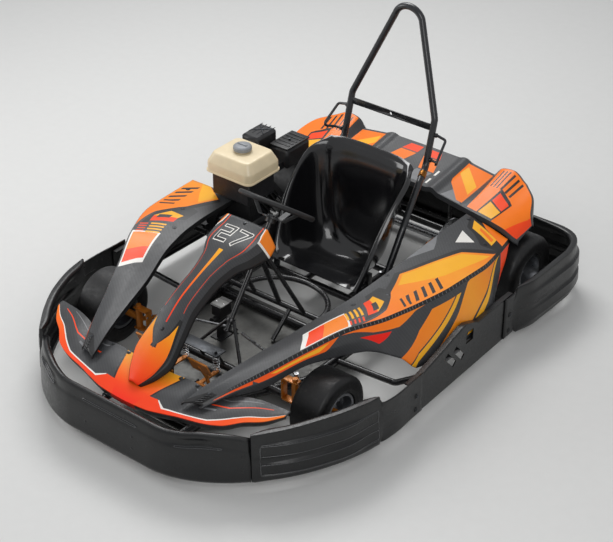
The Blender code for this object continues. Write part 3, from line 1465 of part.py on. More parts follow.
def fuel_tank():
    """A pressed tank: a skirt, straight sides and a chamfered top with a filler neck."""
    cx, cy = TANK_X, TANK_Y
    height = TANK_TOP - TANK_BOTTOM
    levels = [
        (0.00, 1.00, 1.00),
        (0.06, 1.00, 1.00),
        (0.72, 0.965, 0.965),
        (1.00, 0.86, 0.85),
    ]
    bm = bmesh.new()
    rings = []
    for share, wide, long in levels:
        half_w, half_l = TANK_W / 2 * wide, TANK_L / 2 * long
        r = 0.024 * min(wide, long)
        ring = []
        for sx, sy, start in ((1, 1, 0), (-1, 1, 90), (-1, -1, 180), (1, -1, 270)):
            corner = (sx * (half_w - r), sy * (half_l - r))
            for px, py in arc(corner, r, start, start + 90, 2):
                ring.append(bm.verts.new((cx + px, cy + py, TANK_BOTTOM + height * share)))
        rings.append(ring)
    for low, high in zip(rings, rings[1:]):
        for i in range(len(low)):
            j = (i + 1) % len(low)
            bm.faces.new((low[i], low[j], high[j], high[i]))
    bm.faces.new(list(reversed(rings[0])))
    bm.faces.new(rings[-1])
    body = smooth(from_bmesh("fuel_tank", bm, TANK_PAINT))
    neck = cylinder("neck", CAP_R * 0.72, (cx, cy, TANK_TOP - 0.01), (cx, cy, TANK_TOP + 0.006), TANK_PAINT, 14)
    return union("fuel_tank", [body, neck])


def fuel_cap():
    low = TANK_TOP + 0.006 + GAP
    profile = [(0.0, 0.018), (CAP_R * 0.80, 0.018), (CAP_R, 0.013), (CAP_R, 0.0), (0.0, 0.0)]
    cap = turned("cap", profile, GREY_PLASTIC, 18, (TANK_X, TANK_Y, low), "Z")
    ridge = box("ridge", (CAP_R * 1.3, 0.008, 0.008), (TANK_X, TANK_Y, low + 0.019), GREY_PLASTIC)
    return union("fuel_cap", [cap, ridge])


def air_cleaner():
    """The black box behind the tank on the inboard side."""
    body = box("air_cleaner", (0.092, 0.140, 0.085), (AIR_X - 0.004, PORTS_Y + 0.127, 0.419), ENGINE_PAINT, 0.012)
    elbow = box("elbow", (0.035, 0.080, 0.030), (AIR_X, PORTS_Y + 0.040, 0.392), ENGINE_PAINT)
    return union("air_cleaner", [body, elbow])


def muffler():
    """The exhaust box at the outboard rear of the engine, with a pipe stub."""
    x, y = MUFFLER_X, PORTS_Y + 0.063
    body = box("box", (0.082, 0.118, 0.085), (x, y, 0.455), ENGINE_PAINT, 0.010)
    stub = cylinder("stub", 0.011, (x, y + 0.052, 0.43), (x, y + 0.087, 0.40), METAL, 10)
    neck = box("neck", (0.03, 0.06, 0.09), (x + 0.015, PORTS_Y + 0.030, 0.395), ENGINE_PAINT)
    return union("muffler", [body, stub, neck])


def recoil_cover():
    """The pressed starter housing on the engine's outer side."""
    x = ENGINE_X - ENGINE_W / 2 - GAP
    profile = [
        (0.0, -0.058),
        (0.055, -0.058),
        (0.066, -0.050),
        (0.082, -0.046),
        (0.090, -0.034),
        (0.092, 0.0),
        (0.0, 0.0),
    ]
    profile = [(r, a) for r, a in reversed(profile)]
    cover = turned("cover", profile, ENGINE_PAINT, 16, (x, CRANK_Y, CRANK_Z), "X")
    nose = box("eyelet", (0.022, 0.030, 0.026), (x - 0.036, CRANK_Y - 0.088, CRANK_Z + 0.020), ENGINE_PAINT)
    joined = union("recoil_cover", [cover, nose])
    cutters = []
    for i in range(6):
        a = math.radians(60 * i)
        cy, cz = CRANK_Y + 0.040 * math.cos(a), CRANK_Z + 0.040 * math.sin(a)
        cutters.append(cylinder("vent", 0.009, (x - 0.09, cy, cz), (x - 0.045, cy, cz), METAL, 6, CUTTERS))
    return cut(joined, cutters)


def recoil_handle():
    x = ENGINE_X - ENGINE_W / 2 - GAP - 0.036
    y = CRANK_Y - 0.088 - 0.015 - GAP
    z = CRANK_Z + 0.020
    grip = cylinder("grip", 0.0095, (x - 0.032, y - 0.020, z), (x + 0.032, y - 0.020, z), GRIP, 12)
    stem = cylinder("stem", 0.007, (x, y, z), (x, y - 0.020, z), GRIP, 12)
    return union("recoil_handle", [grip, stem])


# Pedals


def pedal(side):
    """A bent rod on a cross pivot, with a foot plate at its top and a lever back to its return spring."""
    x = side * PEDAL_X
    y, z = PEDAL_PIVOT_Y, PEDAL_PIVOT_Z
    name = "brake_pedal" if side > 0 else "throttle_pedal"
    inner, outer = SPRING_X - 0.012 + RUN, PEDAL_X + 0.028 - RUN
    pieces = [cylinder("barrel", 0.009, (side * inner, y, z), (side * outer, y, z), GOLD, 8)]
    pin = (side * (inner - 0.010), y, z), (side * (outer + 0.010), y, z)
    pieces.append(cylinder("pin", PEDAL_PIN_R, *pin, METAL, 8))
    rod = rounded([(x, y, z), (x, y - 0.010, z + 0.055), (x, y - 0.045, z + 0.120)], 0.03, 2)
    pieces.append(tube("rod", rod, 0.006, GOLD, 1))
    turn = Matrix.Rotation(math.radians(24), 3, "X")
    pieces.append(box("plate", (0.080, 0.006, 0.055), (x, y - 0.043, z + 0.117), GOLD, 0, turn))
    length = SPRING_Y - y + SPRING_R + SPRING_WIRE
    top = SPRING_LOW - GAP
    pieces.append(box("lever", (0.014, length, 0.006), (side * SPRING_X, y + length / 2, top - 0.003), GOLD))
    return union(name, pieces)


def pedal_spring(side):
    """A compression spring between the pedal's lever and the plate above it."""
    x, y = side * SPRING_X, SPRING_Y
    name = "brake_return_spring" if side > 0 else "throttle_return_spring"
    low, high = SPRING_LOW + SPRING_WIRE, SPRING_HIGH - SPRING_WIRE
    count = 8
    points = []
    total = SPRING_TURNS * count
    for i in range(total + 1):
        a = 2 * math.pi * i / count
        points.append((x + SPRING_R * math.cos(a), y + SPRING_R * math.sin(a), low + (high - low) * i / total))
    pitch = (high - low) / SPRING_TURNS
    print(name, "least gap between turns", round((pitch - 2 * SPRING_WIRE) * 1000, 2), "mm")
    return tube(name, points, SPRING_WIRE, METAL, 1)


def build():
    nose = nose_fairing()
    cover = rear_cover()
    shell = seat()
    cowl = steering_cowl(nose)
    chassis(nose, cover, shell)
    cowl_bracket(cowl)
    floor_pan()
    front_bumper()
    rear_bumper()
    front_bumper_bar()
    rear_bumper_bar()
    roll_hoop()
    for turning in (steering_grip(), steering_wheel_frame(), steering_column()):
        origin_at(turning, WHEEL_CENTRE)
    for turning in (rear_axle(), brake_disc(), axle_sprocket()):
        origin_at(turning, (0.0, REAR_AXLE_Y, REAR_TYRE_R))
    origin_at(clutch_drum(), (CHAIN_X, CRANK_Y, CRANK_Z))
    brake_caliper()
    brake_master_cylinder()
    chain()
    chain_guard()
    engine_block()
    fuel_tank()
    origin_at(fuel_cap(), (TANK_X, TANK_Y, TANK_TOP))
    air_cleaner()
    muffler()
    recoil_cover()
    recoil_handle()
    for side in (1, -1):
        front_corner_bumper(side)
        side_bumper(side)
        rear_corner_bumper(side)
        side_bar(side)
        side_pod(side)
        belt_bracket(side)
        origin_at(spindle(side), (side * KINGPIN_X, FRONT_AXLE_Y, FRONT_TYRE_R))
        origin_at(tie_rod(side), (side * ARM_END_X, ARM_END_Y, FRONT_TYRE_R))
        front_wheel(side)
        rear_wheel(side)
        axle_bearing(side)
        origin_at(pedal(side), (side * PEDAL_X, PEDAL_PIVOT_Y, PEDAL_PIVOT_Z))
        origin_at(pedal_spring(side), (side * SPRING_X, SPRING_Y, SPRING_HIGH))
    bpy.context.view_layer.update()


build()
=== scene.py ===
"""Racing kart: fine surfaces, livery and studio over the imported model. Metres, +Z up, front towards -Y."""

import math

import bmesh
import bpy
from mathutils import Matrix, Vector


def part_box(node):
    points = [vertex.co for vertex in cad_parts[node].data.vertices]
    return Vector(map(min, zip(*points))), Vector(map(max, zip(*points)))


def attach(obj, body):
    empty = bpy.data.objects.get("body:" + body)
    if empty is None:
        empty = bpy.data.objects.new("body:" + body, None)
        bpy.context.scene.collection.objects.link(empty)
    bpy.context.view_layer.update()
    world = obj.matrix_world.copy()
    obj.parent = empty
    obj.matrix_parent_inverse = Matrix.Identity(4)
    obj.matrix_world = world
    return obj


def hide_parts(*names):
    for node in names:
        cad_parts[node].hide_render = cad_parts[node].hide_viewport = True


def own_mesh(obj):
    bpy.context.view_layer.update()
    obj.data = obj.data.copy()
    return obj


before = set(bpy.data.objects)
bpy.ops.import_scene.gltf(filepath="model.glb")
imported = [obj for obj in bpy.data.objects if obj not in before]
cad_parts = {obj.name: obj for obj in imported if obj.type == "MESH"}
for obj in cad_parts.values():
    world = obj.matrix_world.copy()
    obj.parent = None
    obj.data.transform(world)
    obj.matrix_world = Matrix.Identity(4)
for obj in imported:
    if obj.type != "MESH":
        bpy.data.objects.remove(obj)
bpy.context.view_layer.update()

GAP = 0.0003
PANEL = 0.0032
FRONT_AXLE_Y, REAR_AXLE_Y = -0.41, 0.67
PEDAL_PIVOT_Y = -0.565


# Materials

PATCH_SCALE, SPOT_SCALE, GLOSS_SCALE = 24.0, 60.0, 90.0
DIRT = (0.10, 0.085, 0.07, 1.0)
RELIEF = 0.0006


def linear(code):
    """A hex colour as linear RGBA."""
    parts = [int(code[i : i + 2], 16) / 255 for i in (1, 3, 5)]
    return (*[c / 12.92 if c <= 0.04045 else ((c + 0.055) / 1.055) ** 2.4 for c in parts], 1.0)


def scaled(colour, factor):
    return (*[min(1.0, c * factor) for c in colour[:3]], 1.0)


def stuff(
    name, code, rough, metal=0.0, grain=700.0, bump=0.06, vary=0.07, tint=0.10,
    coat=0.0, dirt=0.0, weave=0.0, shine=0.5,
):
    """A finish with fine grain, uneven gloss and slightly uneven colour.

    code is a hex colour, or (y from, y to, {share: hex, ...}) for a run of colours. weave is the pitch of fine
    printed diagonal lines.
    """
    mat = bpy.data.materials.new(name)
    mat.use_nodes = True
    nodes, links = mat.node_tree.nodes, mat.node_tree.links

    def fill(node, inputs):
        """Give each input its number or colour, or link it to the output that drives it."""
        for socket, value in inputs.items():
            if isinstance(value, bpy.types.NodeSocket):
                links.new(value, node.inputs[socket])
            else:
                node.inputs[socket].default_value = value
        return node

    place = nodes.new("ShaderNodeTexCoord").outputs["Object"]

    def noise(scale, detail):
        node = nodes.new("ShaderNodeTexNoise")
        return fill(node, {"Vector": place, "Scale": scale, "Detail": detail}).outputs[0]

    def ranged(*values):
        return fill(nodes.new("ShaderNodeMapRange"), dict(enumerate(values))).outputs[0]

    def mixed(share, a, b):
        node = nodes.new("ShaderNodeMix")
        node.data_type = "RGBA"
        return fill(node, {0: share, 6: a, 7: b}).outputs[2]

    if isinstance(code, str):
        hues = [scaled(linear(code), 1.0 - tint), scaled(linear(code), 1.0 + tint)]
    else:
        low, high, stops = code
        split = fill(nodes.new("ShaderNodeSeparateXYZ"), {0: place})
        along = ranged(split.outputs[1], low, high, 0.0, 1.0)
        hues = []
        for factor in (1.0 - tint, 1.0 + tint * 0.6):
            ramp = nodes.new("ShaderNodeValToRGB")
            elements = ramp.color_ramp.elements
            while len(elements) < len(stops):
                elements.new(0.5)
            for element, (share, hue) in zip(elements, stops.items()):
                element.position = share
                element.color = scaled(linear(hue), factor)
            hues.append(fill(ramp, {0: along}).outputs[0])
    base = mixed(ranged(noise(PATCH_SCALE, 5.0), 0.3, 0.7, 0.0, 1.0), *hues)
    if weave:
        wave = nodes.new("ShaderNodeTexWave")
        wave.bands_direction = "DIAGONAL"
        fill(wave, {"Scale": 2 * math.pi / (10 * math.sqrt(3) * weave), "Distortion": 0.4, "Vector": place})
        base = mixed(ranged(wave.outputs[1], 0.2, 0.8, 0.0, 0.30), base, scaled(linear(code), 0.45))
    if dirt:
        base = mixed(ranged(noise(SPOT_SCALE, 8.0), 0.58, 0.72, 0.0, dirt), base, DIRT)
    relief = nodes.new("ShaderNodeBump")
    fill(relief, {"Strength": bump, "Distance": RELIEF, "Height": noise(grain, 3.0)})
    fill(nodes["Principled BSDF"], {
        "Base Color": base,
        "Roughness": ranged(noise(GLOSS_SCALE, 6.0), 0.25, 0.75, max(0.03, rough - vary), rough + vary),
        "Metallic": metal,
        "Specular IOR Level": shine,
        "Coat Weight": coat,
        "Coat Roughness": 0.12,
        "Normal": relief.outputs[0],
    })
    return mat


def film(name, code, rough=0.34, coat=0.1):
    """Printed film in a bright hue or a run of them."""
    return stuff(name, code, rough, grain=900.0, bump=0.04, tint=0.025, coat=coat, shine=0.25)


POD_BLEND = (-0.50, 0.50, {0.0: "#FF5C16", 0.25: "#FF781A", 0.5: "#FF8E20", 0.72: "#FFA228", 1.0: "#FF7E1C"})
NOSE_BLEND = (-0.86, -0.67, {0.0: "#FF2412", 0.28: "#FF4A18", 0.55: "#FF7A1C", 0.78: "#FFA020", 1.0: "#FFC22C"})
COWL_BLEND = (-0.66, -0.29, {0.0: "#FF2412", 0.35: "#FF5A14", 0.7: "#FFA41E", 1.0: "#FFD22E"})
TIP_BLEND = (-0.80, -0.62, {0.0: "#FF3A10", 0.3: "#FF5A12", 0.65: "#FF8616", 1.0: "#FFB420"})
WING_BLEND = (-0.82, -0.62, {0.0: "#FF4416", 0.4: "#FF5A18", 0.7: "#FF741C", 1.0: "#FF8E24"})

# The livery's paints, by the index that a mark names. The last one is for the panels' undersides.
CHAR, BLACK, GREY, WHITE, ORG, AMB, RDO, RED, NOSE_RUN, COWL_RUN, TIP, WING, LABEL = range(13)
PANEL_BLACK = stuff("panel_black", "#161617", 0.38, grain=900.0, bump=0.08)
PANEL_GREY = stuff("panel_grey", "#77787A", 0.40, grain=1200.0, bump=0.10)
PAINTS = [
    stuff("panel_charcoal", "#3D3E40", 0.40, grain=1500.0, bump=0.26, vary=0.09, weave=0.008),
    PANEL_BLACK,
    PANEL_GREY,
    stuff("panel_white", "#F0EDE6", 0.32, grain=900.0, bump=0.04, tint=0.04),
    film("panel_orange", POD_BLEND),
    film("panel_amber", "#FFB626"),
    film("panel_red_orange", "#FF4A18"),
    film("panel_red", "#F02010"),
    film("nose_hues", NOSE_BLEND, 0.44, 0.0),
    film("cowl_hues", COWL_BLEND, 0.44, 0.0),
    film("cowl_tip_hues", TIP_BLEND, 0.44, 0.0),
    film("wing_hues", WING_BLEND, 0.44, 0.0),
    film("label_hues", "#FF8A24"),
    PANEL_BLACK,
]

BUMPER = stuff("bumper_black", "#0D0E0F", 0.33, grain=500.0, bump=0.08, vary=0.09, tint=0.2, dirt=0.03)
# Bead lines in a grey lighter than the bumper black they are moulded in: a painted highlight along the groove
# edges, on top of the gloss.
BEAD_HIGHLIGHT = stuff("bead_highlight_gloss", "#2A2B2D", 0.16, grain=500.0, bump=0.04, vary=0.06, coat=0.6)
GLOSS = stuff("seat_gloss", "#101012", 0.13, grain=160.0, bump=0.05, vary=0.06, coat=0.7)
FRAME_PAINT = stuff("frame_black", "#19191B", 0.30, grain=420.0, bump=0.10, vary=0.08, coat=0.3, dirt=0.18)
HOOP_PAINT = stuff("hoop_black", "#202124", 0.30, grain=500.0, bump=0.08, vary=0.08, coat=0.4)
RUBBER = stuff("tyre_black", "#111112", 0.50, grain=320.0, bump=0.24, vary=0.12, tint=0.25, dirt=0.16)
GRIP = stuff("grip_black", "#141415", 0.55, grain=1500.0, bump=0.5, vary=0.1)
STEEL = stuff("bright_steel", "#B9BABC", 0.30, metal=1.0, grain=900.0, bump=0.08, vary=0.12, dirt=0.15)
DARK_STEEL = stuff("dark_steel", "#4A4C4F", 0.42, metal=1.0, bump=0.10, vary=0.12, dirt=0.2)
ALLOY = stuff("cast_alloy", "#8E9094", 0.34, metal=1.0, grain=500.0, bump=0.12, vary=0.10, dirt=0.2)
PAN_METAL = stuff("pan_metal", "#5E5E5C", 0.48, metal=0.8, grain=260.0, bump=0.08, vary=0.14, dirt=0.3)
GOLD = stuff("gold_paint", "#C47626", 0.36, metal=0.35, coat=0.3, dirt=0.2)
BRASS = stuff("brass", "#96652F", 0.34, metal=1.0, grain=900.0)
TANK = stuff("tank_cream", "#EBD9B4", 0.33, grain=500.0, bump=0.05, vary=0.06, tint=0.05, coat=0.3)
CAP_GREY = stuff("cap_grey", "#8A8D91", 0.42, grain=900.0, bump=0.10)
ENGINE = stuff("engine_black", "#1D1D1F", 0.46, grain=600.0, bump=0.16, vary=0.10, tint=0.2, dirt=0.15)
BOX_GREY = stuff("reservoir_grey", "#6C6C6A", 0.45, grain=800.0, bump=0.08)


# Curves through points


def tangents(times, values):
    """Slopes for a curve through values that never swings past them."""
    count = len(values)
    slopes = [(b - a) / (t1 - t0) for a, b, t0, t1 in zip(values, values[1:], times, times[1:])]
    out = [slopes[0]]
    for i in range(1, count - 1):
        a, b = slopes[i - 1], slopes[i]
        if a * b <= 0:
            out.append(0.0)
            continue
        w0 = times[i] - times[i - 1]
        w1 = times[i + 1] - times[i]
        out.append((w0 + w1) / ((w0 + 2 * w1) / 3 / a + (2 * w0 + w1) / 3 / b) if a and b else 0.0)
    out.append(slopes[-1])
    return out


class Track:
    """A smooth curve through 3-D points, read by its parameter at each point."""

    def __init__(self, params, points):
        self.params = params
        self.times = [0.0]
        for a, b in zip(points, points[1:]):
            self.times.append(self.times[-1] + max(1e-6, (b - a).length))
        self.points = points
        columns = [tangents(self.times, [p[k] for p in points]) for k in range(3)]
        self.slopes = [Vector(row) for row in zip(*columns)]

    def at(self, param):
        params = self.params
        i = 0
        while i < len(params) - 2 and param > params[i + 1]:
            i += 1
        s = (param - params[i]) / (params[i + 1] - params[i])
        h = self.times[i + 1] - self.times[i]
        s2, s3 = s * s, s * s * s
        return (
            self.points[i] * (2 * s3 - 3 * s2 + 1)
            + self.slopes[i] * (h * (s3 - 2 * s2 + s))
            + self.points[i + 1] * (3 * s2 - 2 * s3)
            + self.slopes[i + 1] * (h * (s3 - s2))
        )


def with_folds(points, folds, reach=0.006):
    """A row's points as (parameter, place), with two more points beside each fold, so that it bends tightly."""
    out = []
    for j, point in enumerate(points):
        for k in (j - 1, j, j + 1):
            if k == j:
                out.append((float(j), point))
            elif j in folds and 0 <= k < len(points):
                share = min(0.4, reach / (point - points[k]).length)
                out.append((j + share * (k - j), point.lerp(points[k], share)))
    return out


class Skin:
    """A smooth surface through a grid of points: u counts the stations and v the columns."""

    def __init__(self, rows, folds=(), u_folds=()):
        rows = [[Vector(p) for p in row] for row in rows]
        self.rows = [with_folds(row, folds) for row in rows]
        count = len(self.rows[0])
        self.mean = [sum(row[j][0] for row in self.rows) / len(rows) for j in range(count)]
        self.tracks = []
        for j in range(count):
            column = [row[j][1] for row in self.rows]
            pairs = with_folds(column, u_folds, 0.008)
            self.tracks.append(Track([p for p, _ in pairs], [q for _, q in pairs]))
        self.cache = {}
        self.size = (len(rows) - 1, len(rows[0]) - 1)

    def at(self, u, v):
        key = round(u, 6)
        if key not in self.cache:
            self.cache[key] = Track(self.mean, [track.at(u) for track in self.tracks])
        return self.cache[key].at(v)


def steps_between(params, points, step):
    """Where to put grid lines so that they lie about step apart."""
    out = [params[0]]
    for p0, p1, a, b in zip(params, params[1:], points, points[1:]):
        count = max(1, math.ceil((b - a).length / step))
        out += [p0 + (p1 - p0) * i / count for i in range(1, count + 1)]
    return out


def placed(name, mesh, *mats):
    obj = bpy.data.objects.new(name, mesh)
    bpy.context.scene.collection.objects.link(obj)
    for mat in mats:
        mesh.materials.append(mat)
    return obj


def from_bmesh(name, bm, *mats, angle=35):
    mesh = bpy.data.meshes.new(name)
    bm.to_mesh(mesh)
    bm.free()
    mesh.shade_smooth()
    mesh.set_sharp_from_angle(angle=math.radians(angle))
    return placed(name, mesh, *mats)


def bevelled(obj, width, angle):
    edge = obj.modifiers.new("edge", "BEVEL")
    edge.width = width
    edge.segments = 2
    edge.limit_method = "ANGLE"
    edge.angle_limit = math.radians(angle)
    edge.harden_normals = True


def add_grid(bm, rows):
    """Faces between rows of points."""
    rows = [[bm.verts.new(p) for p in row] for row in rows]
    for here, after in zip(rows, rows[1:]):
        for c in range(len(here) - 1):
            bm.faces.new((here[c], after[c], after[c + 1], here[c + 1]))


def face_out(bm, outward):
    """Turn the faces over if most of them look away from outward."""
    bm.normal_update()
    facing = sum((f.normal * f.calc_area() for f in bm.faces), Vector())
    if facing.dot(Vector(outward)) < 0:
        bmesh.ops.reverse_faces(bm, faces=bm.faces)


def paint(bm, index, corners):
    """Cut a convex mark's outline into a flat grid, and give the faces inside it its paint."""
    corners = [Vector((u, v, 0.0)) for u, v in corners]
    low_u, high_u = min(p.x for p in corners), max(p.x for p in corners)
    low_v, high_v = min(p.y for p in corners), max(p.y for p in corners)
    middle = sum(corners, Vector()) / len(corners)
    edges = []
    for a, b in zip(corners, corners[1:] + corners[:1]):
        normal = Vector((b.y - a.y, a.x - b.x, 0.0)).normalized()
        edges.append((a, -normal if normal.dot(middle - a) > 0 else normal))

    def near(face):
        us = [v.co.x for v in face.verts]
        vs = [v.co.y for v in face.verts]
        return min(us) < high_u and max(us) > low_u and min(vs) < high_v and max(vs) > low_v

    for a, normal in edges:
        faces = [f for f in bm.faces if near(f)]
        geom = set(faces)
        for f in faces:
            geom.update(f.edges)
            geom.update(f.verts)
        bmesh.ops.bisect_plane(bm, geom=list(geom), dist=1e-6, plane_co=a, plane_no=normal)
    for f in bm.faces:
        if near(f) and all((f.calc_center_median() - a).dot(normal) < 0 for a, normal in edges):
            f.material_index = index


def walled(obj, wall, offset):
    shell = obj.modifiers.new("wall", "SOLIDIFY")
    shell.thickness, shell.offset = wall, offset
    shell.use_even_offset = False
    shell.use_rim = True
    return shell


def skinned(name, skin, wall, outward, step, marks=(), paints=PAINTS, zones=(), u_step=None):
    """A shell on a skin, painted by marks: each is (paint, corners in u and v), with a convex outline.

    zones lists (paint, v from, v to), bands that run the whole length under the marks.
    """
    middle_row = [p for _, p in skin.rows[len(skin.rows) // 2]]
    vs = steps_between(skin.mean, middle_row, step)
    track = skin.tracks[len(skin.tracks) // 2]
    us = steps_between(track.params, track.points, u_step or step * 1.2)
    bm = bmesh.new()
    add_grid(bm, [[(u, v, 0.0) for v in vs] for u in us])
    for face in bm.faces:
        for index, low, high in zones:
            if low <= face.calc_center_median().y <= high:
                face.material_index = index
    for index, corners in marks:
        paint(bm, index, corners)
    for vert in bm.verts:
        vert.co = skin.at(vert.co.x, vert.co.y)
    face_out(bm, outward)
    obj = from_bmesh(name, bm, *paints)
    shell = walled(obj, wall, -1.0)
    shell.material_offset = shell.material_offset_rim = len(paints)
    return obj


def fitted(obj, *nodes, slot=None, body="chassis"):
    """The piece rides the body and takes the place of the nodes. slot is not used."""
    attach(obj, body)
    if nodes:
        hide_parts(*nodes)


def wires(name, runs, mat, resolution=5, closed=False):
    """Round bars joined into one piece: runs holds each bar's points and radius."""
    bm = bmesh.new()
    for points, radius in runs:
        data = bpy.data.curves.new(name, "CURVE")
        data.dimensions = "3D"
        data.bevel_depth = radius
        data.bevel_resolution = resolution
        data.use_fill_caps = not closed
        spline = data.splines.new("POLY")
        spline.points.add(len(points) - 1)
        spline.use_cyclic_u = closed
        for target, point in zip(spline.points, points):
            target.co = (*point, 1.0)
        made = bpy.data.objects.new(name, data)
        bpy.context.scene.collection.objects.link(made)
        bpy.context.view_layer.update()
        mesh = bpy.data.meshes.new_from_object(made.evaluated_get(bpy.context.evaluated_depsgraph_get()))
        bm.from_mesh(mesh)
        bpy.data.objects.remove(made, do_unlink=True)
        bpy.data.meshes.remove(mesh)
    bmesh.ops.remove_doubles(bm, verts=bm.verts, dist=1e-6)
    return from_bmesh(name, bm, mat, angle=45)


def rounded(points, radius, steps=8):
    """The polyline's points with each inner corner replaced by an arc."""
    points = [Vector(p) for p in points]
    path = [points[0]]
    for before, corner, after in zip(points, points[1:], points[2:]):
        into, out = (before - corner).normalized(), (after - corner).normalized()
        bend = math.pi - into.angle(out)
        if bend < 1e-3:
            continue
        reach = radius * math.tan(bend / 2)
        centre = corner + (into + out).normalized() * (radius / math.cos(bend / 2))
        start = corner + into * reach - centre
        axis = start.cross(corner + out * reach - centre).normalized()
        path += [centre + Matrix.Rotation(bend * i / steps, 3, axis) @ start for i in range(steps + 1)]
    path.append(points[-1])
    return path


def settle(bm, verts, edges, bevel, matrix, index=0):
    """Round the edges of a new shape and put it in its place."""
    if bevel:
        made = bmesh.ops.bevel(bm, geom=edges, offset=bevel, segments=2, profile=0.5, affect="EDGES")
        verts = list({v for f in made["faces"] for v in f.verts} | {v for v in verts if v.is_valid})
    bmesh.ops.transform(bm, matrix=matrix, verts=verts)
    for face in {f for v in verts for f in v.link_faces}:
        face.material_index = index


def add_box(bm, size, centre, turn=Matrix.Identity(3), bevel=0.0015):
    verts = bmesh.ops.create_cube(bm, size=1.0, matrix=Matrix.Diagonal((*size, 1.0)))["verts"]
    edges = list({e for v in verts for e in v.link_edges})
    settle(bm, verts, edges, min(bevel, min(size) * 0.3), Matrix.Translation(centre) @ turn.to_4x4())


def add_rod(bm, radius, start, end, sides=20, end_radius=None, bevel=0.0006, index=0):
    start, end = Vector(start), Vector(end)
    verts = bmesh.ops.create_cone(
        bm, cap_ends=True, segments=sides, radius1=radius, radius2=radius if end_radius is None else end_radius,
        depth=(end - start).length,
    )["verts"]
    rims = [e for e in {e for v in verts for e in v.link_edges} if len({round(v.co.z, 5) for v in e.verts}) == 1]
    turn = (end - start).to_track_quat("Z", "Y").to_matrix().to_4x4()
    settle(bm, verts, rims, min(bevel, radius * 0.3), Matrix.Translation((start + end) / 2) @ turn, index)


def turned(name, profile, mat, steps, centre, upright=False, closed=True, angle=32):
    """A body turned about X, or Z if upright, from (radius, place along the axis) points, outer side first."""
    bm = bmesh.new()
    rings = []
    for i in range(steps):
        a = 2 * math.pi * i / steps
        spots = [(r * math.cos(a), r * math.sin(a), along) for r, along in profile]
        if not upright:
            spots = [(z, x, y) for x, y, z in spots]
        rings.append([bm.verts.new(Vector(p) + Vector(centre)) for p in spots])
    count = len(profile)
    for here, after in zip(rings, rings[1:] + rings[:1]):
        for j in range(count if closed else count - 1):
            k = (j + 1) % count
            bm.faces.new((here[j], after[j], after[k], here[k]))
    bmesh.ops.remove_doubles(bm, verts=bm.verts, dist=1e-6)
    bmesh.ops.recalc_face_normals(bm, faces=bm.faces)
    return from_bmesh(name, bm, mat, angle=angle)


def dressed(node, mat, width):
    """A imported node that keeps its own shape, with welded, slightly rounded edges and its own finish."""
    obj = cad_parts[node]
    obj.data.materials.clear()
    obj.data.materials.append(mat)
    obj.data.shade_smooth()
    weld = obj.modifiers.new("weld", "WELD")
    weld.merge_threshold = 0.00001
    bevelled(obj, width, 42)
    level = obj.modifiers.new("normals", "WEIGHTED_NORMAL")
    level.keep_sharp = False


def suffix(side):
    return "_l" if side > 0 else "_r"


# Bumper ring, from the same paths and sections as its solids

RING_HALF_WIDTH, RING_FRONT_Y, RING_REAR_Y, RING_BOTTOM = 0.677, -0.925, 0.922, 0.041
FRONT_CORNER, REAR_CORNER, REAR_HALF_WIDTH = (0.17, -0.29), (0.40, 0.55), 0.695
SIDE_FRONT_X, SIDE_REAR_X = 0.668, 0.653
BUMPER_WALL = 0.0045
LAP = BUMPER_WALL + GAP * 2
FRONT_SEAM = 52.0
ROLL_END = 0.2


def superellipse(centre, size, power, start, end, steps):
    out = []
    for i in range(steps + 1):
        a = math.radians(start + (end - start) * i / steps)
        x = centre[0] + size[0] * max(0.0, math.cos(a)) ** (2 / power)
        out.append((x, centre[1] + size[1] * max(0.0, math.sin(a)) ** (2 / power)))
    return out


def front_corner_path(start, end, steps):
    x0, y0 = FRONT_CORNER
    size = (RING_HALF_WIDTH - x0, y0 - RING_FRONT_Y)
    return [(x0 + x, y0 - y) for x, y in superellipse((0.0, 0.0), size, 1.8, start, end, steps)]


def rear_corner_path(start, end, steps):
    x0, y0 = REAR_CORNER
    return superellipse(REAR_CORNER, (REAR_HALF_WIDTH - x0, RING_REAR_Y - y0), 4.5, start, end, steps)


def side_x(y):
    return SIDE_FRONT_X + (SIDE_REAR_X - SIDE_FRONT_X) * (y + 0.215) / 0.64


def mix(share, stops):
    for (s0, v0), (s1, v1) in zip(stops, stops[1:]):
        if share <= s1:
            return v0 + (v1 - v0) * max(0.0, share - s0) / (s1 - s0)
    return stops[-1][1]


def ramp(share, start, end, fade=0.06):
    return min(min(1.0, max(0.0, (share - start) / fade)), min(1.0, max(0.0, (end - share) / fade)))


def shares(path):
    lengths = [0.0]
    for a, b in zip(path, path[1:]):
        lengths.append(lengths[-1] + (Vector(b) - Vector(a)).length)
    return [run / lengths[-1] for run in lengths]


def flange(offset, low, high):
    return [(offset, high + (low - high) * i / 12) for i in range(13)]


def corner_section(top, rib, roll):
    points = [(-0.010 - 0.028 * roll, top - 0.013 * roll), (-0.010 - 0.017 * roll, top), (-0.010, top)]
    points += [(-0.006, 0.188), (rib - 0.006, 0.178), (rib - 0.004, 0.140), (-0.004, 0.131), (-0.003, 0.117)]
    points += [(rib - 0.003, 0.108), (rib - 0.001, 0.072), (0.0, 0.061), (-0.006, RING_BOTTOM)]
    return points + [(-0.028, RING_BOTTOM)]


def front_section(share):
    off = abs(2 * share - 1)
    tops = [(0, 0.2275), (0.2, 0.2265), (0.36, 0.206), (0.52, 0.208), (0.74, 0.221), (0.9, 0.212), (1, 0.196)]
    top = mix(off, tops)
    groove = 0.007 * max(ramp(off, -1, 0.24), ramp(off, 0.52, 0.80))
    upper = [(-0.042, top - 0.012), (-0.030, top), (-0.020, top - 0.002), (-0.016, top - 0.012)]
    upper += [(-0.014 - groove, top - 0.026), (-0.012 - groove, top - 0.040), (-0.009, top - 0.048)]
    lower = [(-0.002, 0.050), (0.0, 0.010), (-0.006, 0.0), (-0.030, 0.0)]
    return upper + [(out, RING_BOTTOM + rise) for out, rise in lower]


